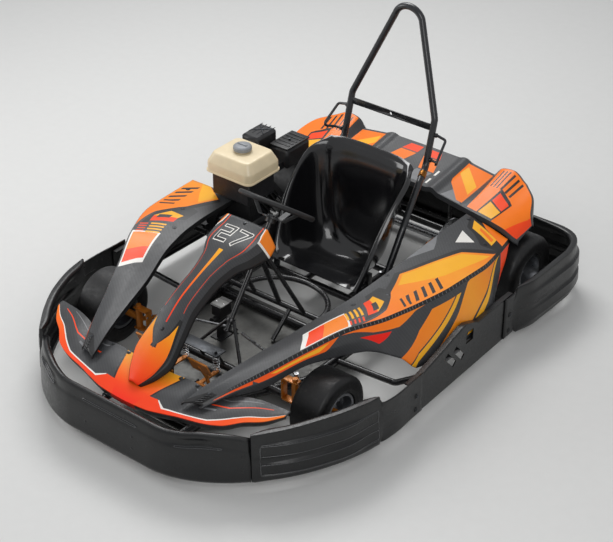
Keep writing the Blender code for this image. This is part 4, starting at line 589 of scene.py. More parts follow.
def ring_rows(stations, side):
    points = [Vector(p) for p, _ in stations]
    rows = []
    for i, (point, section) in enumerate(stations):
        along = (points[min(len(points) - 1, i + 1)] - points[max(0, i - 1)]).normalized()
        normal = Vector((along.y, -along.x))
        rows.append([(side * (point[0] + normal.x * out), point[1] + normal.y * out, z) for out, z in section])
    return rows


def ring_piece(node, stations, side, outward, folds=(4, 5, 8, 9)):
    skin = Skin(ring_rows(stations, side), folds)
    obj = skinned(node + "_skin", skin, BUMPER_WALL, outward, 0.007, paints=[BUMPER], u_step=0.016)
    fitted(obj, node, slot="bumper_plastic")
    return skin


def corner_stations(path, tops, start_roll, end_roll, rib_from, rib_to):
    """A corner's sections along its path: the rolled top edge closes at the ends, and the ribs fade out."""
    out = []
    for point, share in zip(path, shares(path)):
        roll = mix(share, [(0, start_roll), (0.05, 1), (0.95, 1), (1, end_roll)])
        rib = 0.009 * ramp(share, rib_from, rib_to, 0.07)
        out.append((point, corner_section(mix(share, tops), rib, roll)))
    return out


def corner_points(*angles):
    return [front_corner_path(a, a + 1, 1)[0] for a in angles]


half = front_corner_path(FRONT_SEAM - 0.4, 90, 5)
path = [(-x, y) for x, y in half] + half[::-1]
FRONT_SKIN = ring_piece("front_bumper", [(p, front_section(s)) for p, s in zip(path, shares(path))], 1, (0, -1, 0))

CORNER_SKINS = {}
for side in (1, -1):
    tail = suffix(side)
    stations = [(p, flange(-0.021, 0.052, 0.172)) for p in corner_points(56.5, FRONT_SEAM - 0.17)]
    path = corner_points(FRONT_SEAM - 0.65, 47.5, 39, 30, 20.5, 13.5, 9.2)
    tops = [(0, 0.2215), (0.35, 0.230), (0.6, 0.236), (0.9, 0.231), (1, 0.229)]
    stations += corner_stations(path, tops, 0.35, ROLL_END, 0.06, 0.86)
    stations.append((corner_points(8.4)[0], flange(-0.004, 0.050, 0.206)))
    for point in ((0.6765, -0.28), (side_x(-0.20) + LAP, -0.20), (side_x(-0.146) + LAP, -0.146)):
        stations.append((point, flange(0.0, 0.050, 0.200)))
    CORNER_SKINS[side] = ring_piece("front_corner_bumper" + tail, stations, side, (side, -0.6, 0))

    stations = [((side_x(y) + LAP, y), flange(0.0, 0.050, 0.210)) for y in (0.365, 0.427)]
    path = [(0.667, 0.4400), (0.688, 0.530)] + rear_corner_path(14, 76, 5) + [(0.4210, RING_REAR_Y)]
    stations += corner_stations(path, [(0, 0.226), (0.5, 0.229), (1, 0.222)], ROLL_END, ROLL_END, 0.10, 0.90)
    stations += [((x, RING_REAR_Y), flange(0.0, 0.056, 0.194)) for x in (0.4120, 0.36)]
    ring_piece("rear_corner_bumper" + tail, stations, side, (side, 0.6, 0))

y = RING_REAR_Y - LAP
section = [(-0.036, 0.196), (-0.028, 0.208), (-0.012, 0.208), (-0.006, 0.196), (-0.003, 0.120), (-0.001, 0.055)]
section += [(-0.008, 0.047), (-0.028, 0.047)]
path = [(0.40, y), (0.25, y - 0.006), (0.0, y - 0.010), (-0.25, y - 0.006), (-0.40, y)]
ring_piece("rear_bumper", [(p, section) for p in path], 1, (0, 1, 0), ())


def on_skin(skin, u, v, lift=0.0, facing=(0, 0, 1)):
    """A place on a panel, lifted along its normal, and that normal."""
    step = 0.01
    du = skin.at(min(skin.size[0], u + step), v) - skin.at(max(0.0, u - step), v)
    dv = skin.at(u, min(skin.size[1], v + step)) - skin.at(u, max(0.0, v - step))
    normal = du.cross(dv).normalized()
    if normal.dot(Vector(facing)) < 0:
        normal = -normal
    return skin.at(u, v) + normal * lift, normal


def racetrack(skin, u0, u1, low, high, end=0.12):
    """A closed outline on a bumper's skin, with rounded ends."""
    middle, half = (low + high) / 2, (high - low) / 2
    turn = [math.radians(d) for d in (60, 30, 0, -30, -60)]
    loop = [(u0 + (u1 - u0) * t / 24, low) for t in range(25)]
    loop += [(u1 + end * math.cos(a), middle - half * math.sin(a)) for a in turn]
    loop += [(u1 - (u1 - u0) * t / 24, high) for t in range(25)]
    loop += [(u0 - end * math.cos(a), middle + half * math.sin(a)) for a in turn]
    return [skin.at(u, v) for u, v in loop + loop[:1]]


def screw(bm, skin, u, v, radius, facing=(0, 0, 1), sunk=0.0005, ring=(1.7, 1.5, 0.0015), head=(0.0, 0.0032)):
    """A screw in a panel. ring is its washer's radii, as shares of the head's, and its height.

    head is where the head starts and ends above the panel.
    """
    place, normal = on_skin(skin, u, v, -sunk, facing)
    add_rod(bm, radius * ring[0], place, place + normal * ring[2], 28, radius * ring[1], 0.0004)
    add_rod(bm, radius, place + normal * head[0], place + normal * head[1], 6, radius * 0.9, 0.0004, 1)


for side in (1, -1):
    front, rear = "front_corner_bumper" + suffix(side), "rear_corner_bumper" + suffix(side)
    skin = CORNER_SKINS[side]
    # The beads take the lighter grey, a painted highlight along the groove edges.
    runs = [(racetrack(skin, 2.8, 7.7, low, high), 0.0017) for low, high in ((4.0, 5.0), (8.0, 9.0), (3.6, 9.4))]
    fitted(wires("corner_beads" + suffix(side), runs, BEAD_HIGHLIGHT, 3), front, slot="bumper_plastic")
    bm = bmesh.new()
    for y, z in ((-0.182, 0.127), (-0.182, 0.073), (0.400, 0.135), (0.400, 0.069)):
        x = side * (side_x(y) + LAP)
        add_rod(bm, 0.0105, (x - side * 0.001, y, z), (x + side * 0.0022, y, z), 28, 0.0098, 0.0005)
        add_rod(bm, 0.0062, (x, y, z), (x + side * 0.0052, y, z), 6, 0.0058, 0.0005, 1)
    bolts = from_bmesh("ring_bolts" + suffix(side), bm, BUMPER, DARK_STEEL)
    fitted(bolts, front, rear, slot="bumper_plastic")

bm = bmesh.new()
for u, v in ((10.7, 6.2), (10.7, 7.1), (0.3, 6.2), (0.3, 7.1), (5.20, 6.9), (5.80, 6.4), (5.80, 7.0)):
    screw(bm, FRONT_SKIN, u, v, 0.0042, (0, -1, 0), 0.0006, (1.5, 1.35, 0.0012), (0.0002, 0.0018))
fitted(from_bmesh("front_bumper_bolts", bm, BUMPER, PANEL_BLACK), "front_bumper", slot="bumper_plastic")
spans = ((5.2, 5.8, 4.3), (7.75, 9.8, 5.45), (1.2, 3.25, 5.45))
# The beads take the lighter grey, a painted highlight along the groove edges.
runs = [(racetrack(FRONT_SKIN, u0, u1, v, v + 0.45, 0.05), 0.0019) for u0, u1, v in spans]
fitted(wires("front_bumper_beads", runs, BEAD_HIGHLIGHT, 3), "front_bumper", slot="bumper_plastic")


# Body panels. Marks are given in stations along the panel and columns across it.


def marked(*rows):
    """Marks from rows of a paint and then the corners' u and v by turns."""
    return [(index, list(zip(flat[::2], flat[1::2]))) for index, *flat in rows]


def both_sides(marks, place):
    """The marks of one side on both: place gives a corner's u and v on side 1 or -1."""
    return [(index, [place(s, u, v) for u, v in corners]) for s in (1, -1) for index, corners in marks]


def mirrored(points):
    """Points from the middle outwards, after their mirror images."""
    return [(-x, y, z) for x, y, z in reversed(points[1:])] + points


def mirrored_rows(rows):
    return [[(-x, y, z) for x, y, z in row] for row in reversed(rows[1:])] + rows


stations = [
    (0.00, (-0.690, 0.236), (-0.770, 0.224), (-0.852, 0.194)),
    (0.09, (-0.690, 0.238), (-0.770, 0.225), (-0.848, 0.196)),
    (0.172, (-0.690, 0.245), (-0.760, 0.229), (-0.832, 0.2035)),
    (0.205, (-0.690, 0.240), (-0.755, 0.220), (-0.822, 0.205)),
    (0.30, (-0.662, 0.234), (-0.725, 0.228), (-0.800, 0.210)),
    (0.356, (-0.645, 0.246), (-0.705, 0.236), (-0.776, 0.2145)),
    (0.405, (-0.633, 0.248), (-0.680, 0.238), (-0.732, 0.2245)),
    (0.455, (-0.624, 0.245), (-0.658, 0.239), (-0.696, 0.2290)),
    (0.502, (-0.618, 0.2425), (-0.630, 0.2415), (-0.640, 0.2385)),
]
rows = []
for x, rear, middle, front in stations:
    lip = 0.030 if x < 0.46 else 0.024
    row = [(x, rear[0], rear[1] - 0.018), (x, rear[0], rear[1]), (x, *middle), (x, *front)]
    row.append((x - 0.004, front[0] + 0.002, front[1] - 0.010))
    row.append((x - 0.012 * (x / 0.502), front[0] + 0.012, front[1] - lip))
    rows.append(row)
marks = marked(
    (BLACK, 6.05, 0.0, 7.33, 3.0, 8.67, 3.0, 9.95, 0.0),
    (NOSE_RUN, 6.15, 0.0, 7.40, 3.0, 8.60, 3.0, 9.85, 0.0),
    (NOSE_RUN, 7.40, 3.0, 7.40, 5.0, 8.60, 5.0, 8.60, 3.0),
)
wing = marked(
    (WHITE, 1.30, 2.40, 1.72, 2.70, 1.72, 3.1, 1.2, 3.1),
    (WHITE, 1.72, 2.70, 4.0, 2.72, 4.0, 3.1, 1.72, 3.1),
    (WHITE, 4.0, 2.72, 5.2, 2.50, 7.9, 2.48, 7.9, 3.0, 4.0, 3.0),
    (WING, 0.75, 2.40, 1.25, 2.40, 1.66, 2.76, 1.66, 3.35, 0.35, 3.35),
    (WING, 1.66, 2.76, 4.0, 2.78, 4.0, 3.35, 1.66, 3.35),
    (WING, 4.0, 2.78, 5.2, 2.57, 7.9, 2.56, 7.9, 3.35, 4.0, 3.35),
    (RDO, 2.9, 1.72, 4.6, 1.95, 4.6, 2.03, 2.9, 1.80),
    (RDO, 4.6, 1.95, 7.0, 1.50, 7.0, 1.58, 4.6, 2.03),
    (GREY, 2.6, 1.25, 4.3, 1.42, 4.3, 1.47, 2.6, 1.31),
    (GREY, 4.3, 1.42, 6.2, 1.20, 6.2, 1.25, 4.3, 1.47),
    (GREY, 3.4, 2.08, 4.0, 2.12, 4.0, 2.22, 3.4, 2.18),
)
marks += both_sides(wing, lambda s, u, v: (8 + s * u, v))
NOSE = Skin(mirrored_rows(rows), (1, 3))
nose = skinned("nose_skin", NOSE, PANEL, (0, -0.3, 1), 0.009, marks, zones=[(BLACK, 4.0, 5.0)])
fitted(nose, "nose_fairing", slot="panel_plastic")

stations = [
    (-0.800, 0.2290, 0.016, 0.004, 0.012),
    (-0.752, 0.2640, 0.048, 0.008, 0.024),
    (-0.704, 0.3020, 0.064, 0.010, 0.034),
    (-0.635, 0.3640, 0.053, 0.009, 0.040),
    (-0.563, 0.4210, 0.042, 0.008, 0.042),
    (-0.474, 0.4640, 0.041, 0.008, 0.042),
    (-0.390, 0.4980, 0.054, 0.008, 0.046),
    (-0.325, 0.5240, 0.086, 0.008, 0.056),
    (-0.271, 0.5400, 0.092, 0.007, 0.066),
    (-0.226, 0.5590, 0.087, 0.004, 0.062),
]
rows = []
for y, z, half, crown, wall in stations:
    flare = 0.010 + 0.25 * wall
    row = [(half * share, y, z + crown * (1 - share * share)) for share in (0.0, 0.62, 1.0)]
    row += [(half + flare * 0.5, y + 0.004, z - wall * 0.45), (half + flare, y + 0.010, z - wall)]
    rows.append(mirrored(row))


def stroke(index, a, b, half):
    """A bar from a to b on the panel, as a mark."""
    a, b = Vector(a), Vector(b)
    along = (b - a).normalized() * half
    side = Vector((-along.y, along.x))
    return index, [tuple(p) for p in (a - along - side, b + along - side, b + along + side, a - along + side)]


marks = marked(
    (BLACK, 0.0, 1.0, 0.0, 7.0, 3.35, 6.2, 3.35, 1.8),
    (TIP, 0.0, 1.4, 0.0, 6.6, 2.05, 6.0, 2.05, 2.0),
    (CHAR, 2.0, 4.0, 3.5, 5.75, 3.5, 2.25),
    (TIP, 1.9, 4.35, 2.05, 6.0, 3.15, 5.75, 2.2, 4.25),
    (TIP, 1.9, 3.65, 2.05, 2.0, 3.15, 2.25, 2.2, 3.75),
    (COWL_RUN, 3.02, 3.93, 3.02, 4.07, 6.45, 4.24, 6.45, 3.82),
)
cheek = marked(
    (WHITE, 7.75, 1.95, 8.05, 4.0, 9.0, 4.0, 9.0, 1.65, 8.3, 1.65),
    (LABEL, 7.92, 2.05, 8.22, 4.0, 9.0, 4.0, 9.0, 1.75, 8.36, 1.78),
    (RDO, 3.6, 1.74, 6.4, 1.62, 6.4, 1.70, 3.6, 1.81),
    (RDO, 6.4, 1.62, 8.2, 1.30, 8.2, 1.38, 6.4, 1.70),
    (RDO, 8.2, 1.30, 9.0, 1.42, 9.0, 1.50, 8.2, 1.38),
)
marks += both_sides(cheek, lambda s, u, v: (u, 4 + s * v))
DIGITS = [[(0, 1), (0.6, 1), (0.6, 0.5), (0, 0.5), (0, 0), (0.6, 0)], [(0, 1), (0.6, 1), (0.2, 0)]]
for index, half in ((WHITE, 0.135), (BLACK, 0.082)):
    for digit, place in zip(DIGITS, (2.98, 4.14)):
        bars = [(6.94 + 1.12 * y, place + 1.18 * x + 0.12 * y) for x, y in digit]
        marks += [stroke(index, a, b, half) for a, b in zip(bars, bars[1:])]
COWL = Skin(rows, (2, 6))
zones = [(BLACK, 0.0, 1.0), (BLACK, 7.0, 8.0)]
cowl = skinned("cowl_skin", COWL, PANEL, (0, -0.6, 0.8), 0.0075, marks, zones=zones)
fitted(cowl, "steering_cowl", slot="panel_plastic")

SIDE_BAR_Z, BAR_R = 0.155, 0.011
BAR_FLAT = BAR_R * math.cos(math.pi / 8)
POD_END = 0.128
SHORT_POD = 7.0
PODS = {}


def pod_rows(side):
    """A pod's rows, from stations of inner edge, ridge, foot and lip height. The right pod has the first eight."""
    foot_x = side_x(0.1) - LAP - BAR_FLAT
    foot_z = SIDE_BAR_Z + BAR_R + GAP
    stations = [
        ((0.197, -0.785, 0.233), (0.254, -0.763, 0.240), (0.260, -0.768, 0.225), 0.008),
        ((0.222, -0.692, 0.262), (0.301, -0.670, 0.272), (0.304, -0.680, 0.242), 0.010),
        ((0.249, -0.589, 0.283), (0.344, -0.577, 0.297), (0.349, -0.592, 0.240), 0.016),
        ((0.290, -0.425, 0.309), (0.410, -0.435, 0.338), (0.428, -0.420, 0.281), 0.016),
        ((0.341, -0.252, 0.345), (0.488, -0.280, 0.376), (0.516, -0.268, 0.282), 0.016),
        ((0.362, -0.126, 0.355), (0.540, -0.160, 0.376), (0.600, -0.178, 0.244), 0.016),
        ((0.366, -0.030, 0.359), (0.562, -0.040, 0.368), (0.628, -0.115, 0.184), 0.016),
        ((0.366, POD_END, 0.360), (0.582, POD_END + 0.01, 0.357), (foot_x, POD_END, foot_z), 0.016),
        ((0.360, 0.330, 0.360), (0.578, 0.320, 0.338), (foot_x, 0.285, foot_z), 0.016),
        ((0.356, 0.480, 0.360), (0.548, 0.480, 0.318), (0.612, 0.370, 0.212), 0.016),
        ((0.356, 0.560, 0.360), (0.526, 0.575, 0.310), (0.590, 0.420, 0.235), 0.016),
    ]
    rows = []
    for inner, ridge, foot, lip in stations if side > 0 else stations[:8]:
        edge = Vector((ridge[0] + 0.006, ridge[1], ridge[2] - lip * 0.75))
        middle = Vector(inner).lerp(Vector(ridge), 0.55) + Vector((0, 0, 0.004))
        wall = edge.lerp(Vector(foot), 0.5) + Vector((lip * 0.35, 0, lip * 0.25))
        low_inner = (inner[0] - lip / 4, inner[1], inner[2] - lip)
        rows.append([(side * x, y, z) for x, y, z in (low_inner, inner, middle, ridge, edge, wall, foot)])
    return rows


def repeated(index, corners, count, step):
    """The same mark again and again along a panel."""
    return [(index, [(u + step * k, v) for u, v in corners]) for k in range(count)]


# Columns: 1 inner edge, 2 middle, 3 outer ridge, 4 under the lip, 5 wall, 6 foot
POD_MARKS = marked(
    (WHITE, 2.92, 2.92, 3.32, 1.66, 4.30, 1.66, 3.96, 2.92),
    (RDO, 3.05, 2.84, 3.42, 1.74, 3.80, 1.74, 3.46, 2.84),
    (LABEL, 3.40, 2.84, 3.74, 1.74, 4.24, 1.74, 3.92, 2.84),
    (BLACK, 0.0, 1.0, 0.0, 4.0, 0.50, 4.0, 0.62, 2.2, 0.20, 1.0),
    (BLACK, 3.75, 3.0, 4.35, 2.78, 5.3, 1.35, 6.0, 1.35, 6.2, 3.0),
    (RDO, 4.62, 2.45, 4.95, 1.62, 5.25, 1.62, 4.95, 2.45),
    (AMB, 4.92, 2.45, 5.22, 1.62, 5.45, 1.55, 5.45, 2.05),
    (BLACK, 4.86, 2.30, 5.06, 1.86, 5.26, 1.86, 5.06, 2.30),
    (BLACK, 5.2, 3.0, 5.75, 1.75, 6.65, 1.22, 8.25, 1.92, 9.0, 3.0),
    (ORG, 4.2, 2.98, 5.30, 2.50, 6.6, 2.98),
    (ORG, 5.0, 2.70, 5.95, 1.85, 6.70, 1.36, 8.12, 2.02, 8.80, 2.98, 5.6, 2.98),
    (AMB, 6.30, 1.72, 6.72, 1.44, 8.05, 2.06, 8.60, 2.86, 7.2, 2.42),
)
POD_MARKS += repeated(AMB, [(4.08, 2.30), (4.26, 1.72), (4.33, 1.72), (4.15, 2.30)], 4, 0.14)
POD_MARKS += repeated(RDO, [(3.98, 2.78), (4.10, 2.42), (4.15, 2.42), (4.03, 2.78)], 4, 0.12)
POD_MARKS += repeated(BLACK, [(5.62, 2.84), (5.86, 2.32), (5.95, 2.32), (5.71, 2.84)], 6, 0.22)
POD_MARKS += marked(
    (ORG, 0.35, 4.02, 1.7, 4.02, 1.7, 4.62, 0.7, 4.50),
    (ORG, 1.7, 4.02, 3.65, 4.02, 3.30, 4.98, 1.9, 4.80),
    (AMB, 2.2, 4.16, 3.45, 4.16, 3.2, 4.66, 2.3, 4.50),
    (ORG, 3.7, 4.02, 6.2, 4.02, 5.2, 4.52, 4.4, 4.52),
    (RED, 4.0, 4.75, 4.9, 4.62, 4.45, 5.35),
    (ORG, 5.05, 6.0, 5.55, 6.0, 7.0, 4.35, 6.35, 4.35),
    (AMB, 5.62, 6.0, 5.85, 6.0, 7.2, 4.35, 7.05, 4.35),
    (ORG, 6.3, 5.9, 7.0, 5.9, 8.75, 4.05, 7.55, 4.05),
    (AMB, 7.15, 5.9, 7.5, 5.9, 8.95, 4.05, 8.8, 4.05),
    (WHITE, 8.35, 1.62, 8.9, 1.45, 8.72, 2.05),
    (BLACK, 8.95, 3.0, 8.75, 2.3, 9.2, 1.45, 10.0, 1.2, 10.0, 3.0),
    (AMB, 8.98, 2.62, 9.30, 1.62, 9.86, 1.42, 9.50, 2.62),
    (ORG, 9.16, 2.52, 9.42, 1.86, 9.62, 1.80, 9.40, 2.52),
    (RDO, 9.05, 4.02, 10.0, 4.02, 10.0, 5.95, 9.2, 5.95),
    (ORG, 9.35, 2.98, 9.72, 2.0, 10.0, 1.7, 10.0, 2.98),
    (GREY, 7.2, 1.02, 8.3, 1.02, 7.8, 1.36),
)
for side in (1, -1):
    PODS[side] = Skin(pod_rows(side), (1, 3, 4))
    marks = POD_MARKS
    if side < 0:
        marks = [(i, c) for i, c in marks if max(c)[0] <= SHORT_POD or min(c)[0] < 6.6]
        marks = [(i, [(min(SHORT_POD, u), v) for u, v in c]) for i, c in marks]
    zones = [(BLACK, 3.0, 4.0), (BLACK, 0.0, 1.0)]
    pod = skinned("pod_skin" + suffix(side), PODS[side], PANEL, (side * 0.6, 0, 1), 0.010, marks, zones=zones)
    fitted(pod, "side_pod" + suffix(side), slot="panel_plastic")

for side in (1, -1):
    tail, node, long, skin = suffix(side), "side_pod" + suffix(side), side > 0, PODS[side]
    runs = []
    for k in range(4):
        spots = [(0.06 + 0.11 * k + 0.03 * t, 2.25 + 0.35 * t) for t in (0, 0.5, 1.0, 1.5, 2.0)]
        runs.append(([on_skin(skin, u, v, 0.0002)[0] for u, v in spots], 0.0026))
    fitted(wires("pod_tip_ribs" + tail, runs, PANEL_BLACK, 3), node, slot="panel_plastic")
    runs = []
    for k in range(72):
        u = 1.0 + ((8.6 if long else 6.8) - 1.0) * k / 71
        runs.append(([on_skin(skin, u, v, 0.0, (side, 0, 0.6))[0] for v in (3.15, 3.5, 3.85)], 0.0011))
    fitted(wires("pod_lip_ticks" + tail, runs, PANEL_GREY, 1), node, slot="panel_plastic")
    bm = bmesh.new()
    rear = [(8.9, 2.4), (6.5, 1.12), (9.75, 1.25)] if long else [(6.6, 2.6)]
    for u, v in [(0.5, 2.35), (4.75, 1.42), (5.8, 1.85)] + rear:
        screw(bm, skin, u, v, 0.0055)
    fitted(from_bmesh("pod_bolts" + tail, bm, PANEL_BLACK, DARK_STEEL), node, slot="panel_plastic")

bm = bmesh.new()
for u in (5.6, 6.7, 9.3, 10.4):
    screw(bm, NOSE, u, 1.15, 0.0045)
for u in (2.75, 8.7):
    screw(bm, COWL, u, 4.0, 0.0045)
bolts = from_bmesh("front_panel_bolts", bm, PANEL_BLACK, DARK_STEEL)
fitted(bolts, "nose_fairing", "steering_cowl", slot="panel_plastic")

columns = [
    (0.000, 0.615, 0.372, 0.835, 0.402, 0.330),
    (0.140, 0.612, 0.372, 0.833, 0.402, 0.330),
    (0.165, 0.610, 0.380, 0.832, 0.410, 0.330),
    (0.198, 0.606, 0.368, 0.829, 0.399, 0.325),
    (0.300, 0.594, 0.362, 0.826, 0.386, 0.320),
    (0.335, 0.590, 0.360, 0.827, 0.424, 0.320),
    (0.375, 0.586, 0.357, 0.829, 0.430, 0.312),
    (0.445, 0.580, 0.352, 0.808, 0.405, 0.310),
    (0.500, 0.582, 0.338, 0.765, 0.384, 0.308),
    (0.535, 0.592, 0.314, 0.705, 0.350, 0.306),
    (0.552, 0.606, 0.298, 0.690, 0.320, 0.305),
]
rows = []
for x, y0, z0, y1, z1, low in columns:
    middle = (x, y0 + (y1 - y0) * 0.5, z0 + (z1 - z0) * 0.42)
    row = [(x, y0 - 0.004, z0 - 0.018), (x, y0, z0), middle, (x, y1, z1)]
    rows.append(row + [(x, y1 + 0.014, z1 - 0.010), (x, y1 + 0.020, low)])
marks = marked(
    (GREY, 0.15, 1.15, 0.62, 1.15, 0.78, 1.75, 0.30, 1.75),
    (ORG, 0.30, 1.80, 0.80, 1.80, 0.62, 2.45, 0.12, 2.45),
    (RDO, 0.12, 2.50, 0.62, 2.50, 0.50, 2.85, 0.10, 2.85),
    (WHITE, 0.86, 1.2, 0.92, 1.2, 0.92, 1.5, 0.86, 1.5),
    (WHITE, 0.86, 1.7, 0.92, 1.7, 0.92, 2.0, 0.86, 2.0),
    (GREY, 3.1, 1.05, 4.0, 1.05, 3.4, 1.75),
    (ORG, 2.80, 1.95, 3.75, 1.15, 4.02, 1.15, 4.02, 2.9, 2.80, 2.9),
    (AMB, 2.95, 2.35, 3.9, 1.60, 3.9, 2.1, 3.05, 2.75),
    (ORG, 4.85, 1.1, 7.05, 1.1, 7.05, 2.98, 4.85, 2.98),
    (ORG, 7.0, 1.02, 9.0, 1.02, 9.7, 2.98, 7.0, 2.98),
    (BLACK, 5.95, 1.02, 7.0, 1.02, 7.3, 2.05, 6.2, 2.25),
    (AMB, 6.05, 1.12, 6.92, 1.12, 7.05, 1.52, 6.20, 1.66),
    (RDO, 6.22, 1.72, 7.05, 1.58, 7.15, 1.95, 6.30, 2.10),
    (RDO, 8.1, 1.02, 9.6, 1.02, 9.9, 2.98, 9.2, 2.98),
)
marks += repeated(BLACK, [(5.15, 2.20), (5.28, 2.20), (5.42, 2.88), (5.29, 2.88)], 6, 0.32)
marks = both_sides(marks, lambda s, u, v: (10 + s * u, v))
u_folds = [10 + s * i for i in (1, 3, 4, 7) for s in (1, -1)]
skin = Skin(mirrored_rows(rows), (1, 3), u_folds)
cover = skinned("rear_cover_skin", skin, PANEL, (0, 0.2, 1), 0.010, marks, zones=[(BLACK, 3.0, 5.0)])
fitted(cover, "rear_cover", slot="panel_plastic")

stations = [
    ((0.120, 0.186), (0.118, 0.184), 0.178),
    ((0.200, 0.180), (0.160, 0.255), 0.184),
    ((0.300, 0.112), (0.206, 0.352), 0.192),
    ((0.388, 0.146), (0.264, 0.432), 0.200),
    ((0.406, 0.260), (0.324, 0.488), 0.204),
    ((0.420, 0.400), (0.386, 0.528), 0.203),
    ((0.440, 0.540), (0.428, 0.538), 0.172),
    ((0.468, 0.556), (0.452, 0.546), 0.167),
]
rows = []
for spine, rim, half in stations:
    row = []
    for across, share in [(0.0, 0.0), (0.78, 0.08), (1.0, 0.88)]:
        place = Vector(spine).lerp(Vector(rim), share)
        row.append((half * across, place.x, place.y))
    row += [(half + out, rim[0], rim[1] + lift) for out, lift in ((0.012, 0.006), (0.027, -0.014))]
    rows.append(mirrored(row))
bm = bmesh.new()
add_grid(bm, rows)
face_out(bm, (0, 0.4, -1))
seat = from_bmesh("seat_shell", bm, GLOSS)
soften = seat.modifiers.new("soften", "SUBSURF")
soften.levels = soften.render_levels = 4
soften.boundary_smooth = "PRESERVE_CORNERS"
walled(seat, 0.004, 1.0)
bevelled(seat, 0.0014, 50)
fitted(seat, "seat", slot="seat_plastic")


# Chassis tubes and small frame parts

RAIL_Z, RAIL_R, RAIL_X, RAIL_FRONT_X, CROSS_TUBE_R = 0.078, 0.015, 0.30, 0.165, 0.014
CROSS_Z, CROSS_Y, BEAM_Z, BEAM_X = 0.155, -0.065, 0.096, 0.304
SEAT_TUBE_X, SEAT_FRONT_Y, SEAT_REAR_Y = 0.10, 0.20, 0.44
KINGPIN_X, NOSE_POST, REAR_POST = 0.35, (0.150, -0.71), (0.12, 0.82)
SPRING_X, SPRING_Y, PLATE_Z = 0.070, -0.480, 0.1943
FRONT_R, REAR_R, BEAD = 0.1275, 0.14, 0.0635
ELEV = math.radians(53.5)
WHEEL_CENTRE = Vector((0.0, -0.074, 0.553))
UP = Vector((0.0, math.cos(ELEV), math.sin(ELEV)))
LEFT = Vector((1.0, 0.0, 0.0))
DOWN = LEFT.cross(UP) * -1.0


def column_point(distance):
    return WHEEL_CENTRE - UP * distance


def rail_x(y):
    share = min(1.0, max(0.0, (y - (FRONT_AXLE_Y - 0.11)) / 0.24))
    return RAIL_FRONT_X + (RAIL_X - RAIL_FRONT_X) * share


bush, foot = column_point(0.150), column_point(0.420)
runs = []
for s in (-1, 1):
    rail = [(s * RAIL_FRONT_X, FRONT_AXLE_Y - 0.36, RAIL_Z), (s * RAIL_FRONT_X, FRONT_AXLE_Y - 0.11, RAIL_Z)]
    rail += [(s * RAIL_X, FRONT_AXLE_Y + 0.13, RAIL_Z), (s * RAIL_X, REAR_AXLE_Y + 0.17, RAIL_Z)]
    runs += [
        (rounded(rail, 0.09), RAIL_R),
        ([(s * 0.112, CROSS_Y, CROSS_Z), (s * 0.092, -0.246, 0.478)], 0.008),
        ([(s * SEAT_TUBE_X, SEAT_FRONT_Y, RAIL_Z), (s * SEAT_TUBE_X, SEAT_REAR_Y, RAIL_Z)], BAR_R),
        ([(s * 0.014, foot.y, foot.z), (s * 0.118, FRONT_AXLE_Y, BEAM_Z)], 0.006),
        ([(s * 0.045, FRONT_AXLE_Y, BEAM_Z), (s * 0.045, -0.462, PLATE_Z)], 0.005),
    ]
for y in (FRONT_AXLE_Y - 0.30, PEDAL_PIVOT_Y, FRONT_AXLE_Y + 0.37, SEAT_FRONT_Y, SEAT_REAR_Y, REAR_AXLE_Y + 0.15):
    runs.append(([(-rail_x(y), y, RAIL_Z), (rail_x(y), y, RAIL_Z)], CROSS_TUBE_R))
for y in (0.09, 0.27):
    runs.append(([(-RAIL_X, y, RAIL_Z + 0.002), (-0.457, y, RAIL_Z + 0.002)], RAIL_R * 0.8))
edge = RAIL_X - 0.035
bar = [(-RAIL_X, CROSS_Y, RAIL_Z), (-edge, CROSS_Y, CROSS_Z), (edge, CROSS_Y, CROSS_Z), (RAIL_X, CROSS_Y, RAIL_Z)]
sweep = [math.pi * i / 28 for i in range(29)]
runs += [
    ([(-BEAM_X, FRONT_AXLE_Y, BEAM_Z), (BEAM_X, FRONT_AXLE_Y, BEAM_Z)], CROSS_TUBE_R),
    (rounded(bar, 0.03), BAR_R),
    ([(-0.176 * math.cos(a), CROSS_Y + 0.004 + 0.155 * math.sin(a), CROSS_Z) for a in sweep], 0.010),
    ([(0.0, CROSS_Y, CROSS_Z), (0.0, bush.y - 0.012, bush.z - 0.010)], 0.009),
    ([(0.05, CROSS_Y, CROSS_Z), (0.05, -0.165, 0.070)], 0.008),
]
fitted(wires("frame_tubes", runs, FRAME_PAINT), "chassis_frame", slot="frame_paint")

bm = bmesh.new()
for s in (-1, 1):
    add_box(bm, (0.006, 0.028, 0.088), (s * 0.303, FRONT_AXLE_Y, FRONT_R))
    for level in (-1, 1):
        add_box(bm, (0.065, 0.028, 0.006), (s * 0.3325, FRONT_AXLE_Y, FRONT_R + level * 0.041))
        low, high = [(s * KINGPIN_X, FRONT_AXLE_Y, FRONT_R + level * rise) for rise in (0.0382, 0.0442)]
        add_rod(bm, 0.0115, low, high, 24)
fitted(from_bmesh("yoke_plates", bm, GOLD), "chassis_frame", slot="gold_paint")

bm = bmesh.new()
add_box(bm, (0.167, 0.28, 0.008), (-0.3825, 0.18, 0.092), bevel=0.001)
for s in (-1, 1):
    for x in (0.145, 0.056):
        add_box(bm, (0.004, 0.024, 0.052), (s * x, PEDAL_PIVOT_Y, 0.104))
    add_box(bm, (0.024, 0.024, 0.05), (s * SEAT_TUBE_X, 0.32, 0.100))
    for radius, (x, y), top in ((0.007, NOSE_POST, 0.222), (0.008, REAR_POST, 0.388)):
        add_rod(bm, radius, (s * x, y, RAIL_Z), (s * x, y, top), 16)
for radius, place, reach in ((0.0165, bush, 0.016), (0.016, foot, 0.008)):
    add_rod(bm, radius, place - UP * reach, place + UP * reach, 28)
fitted(from_bmesh("frame_lugs", bm, FRAME_PAINT), "chassis_frame", slot="frame_paint")

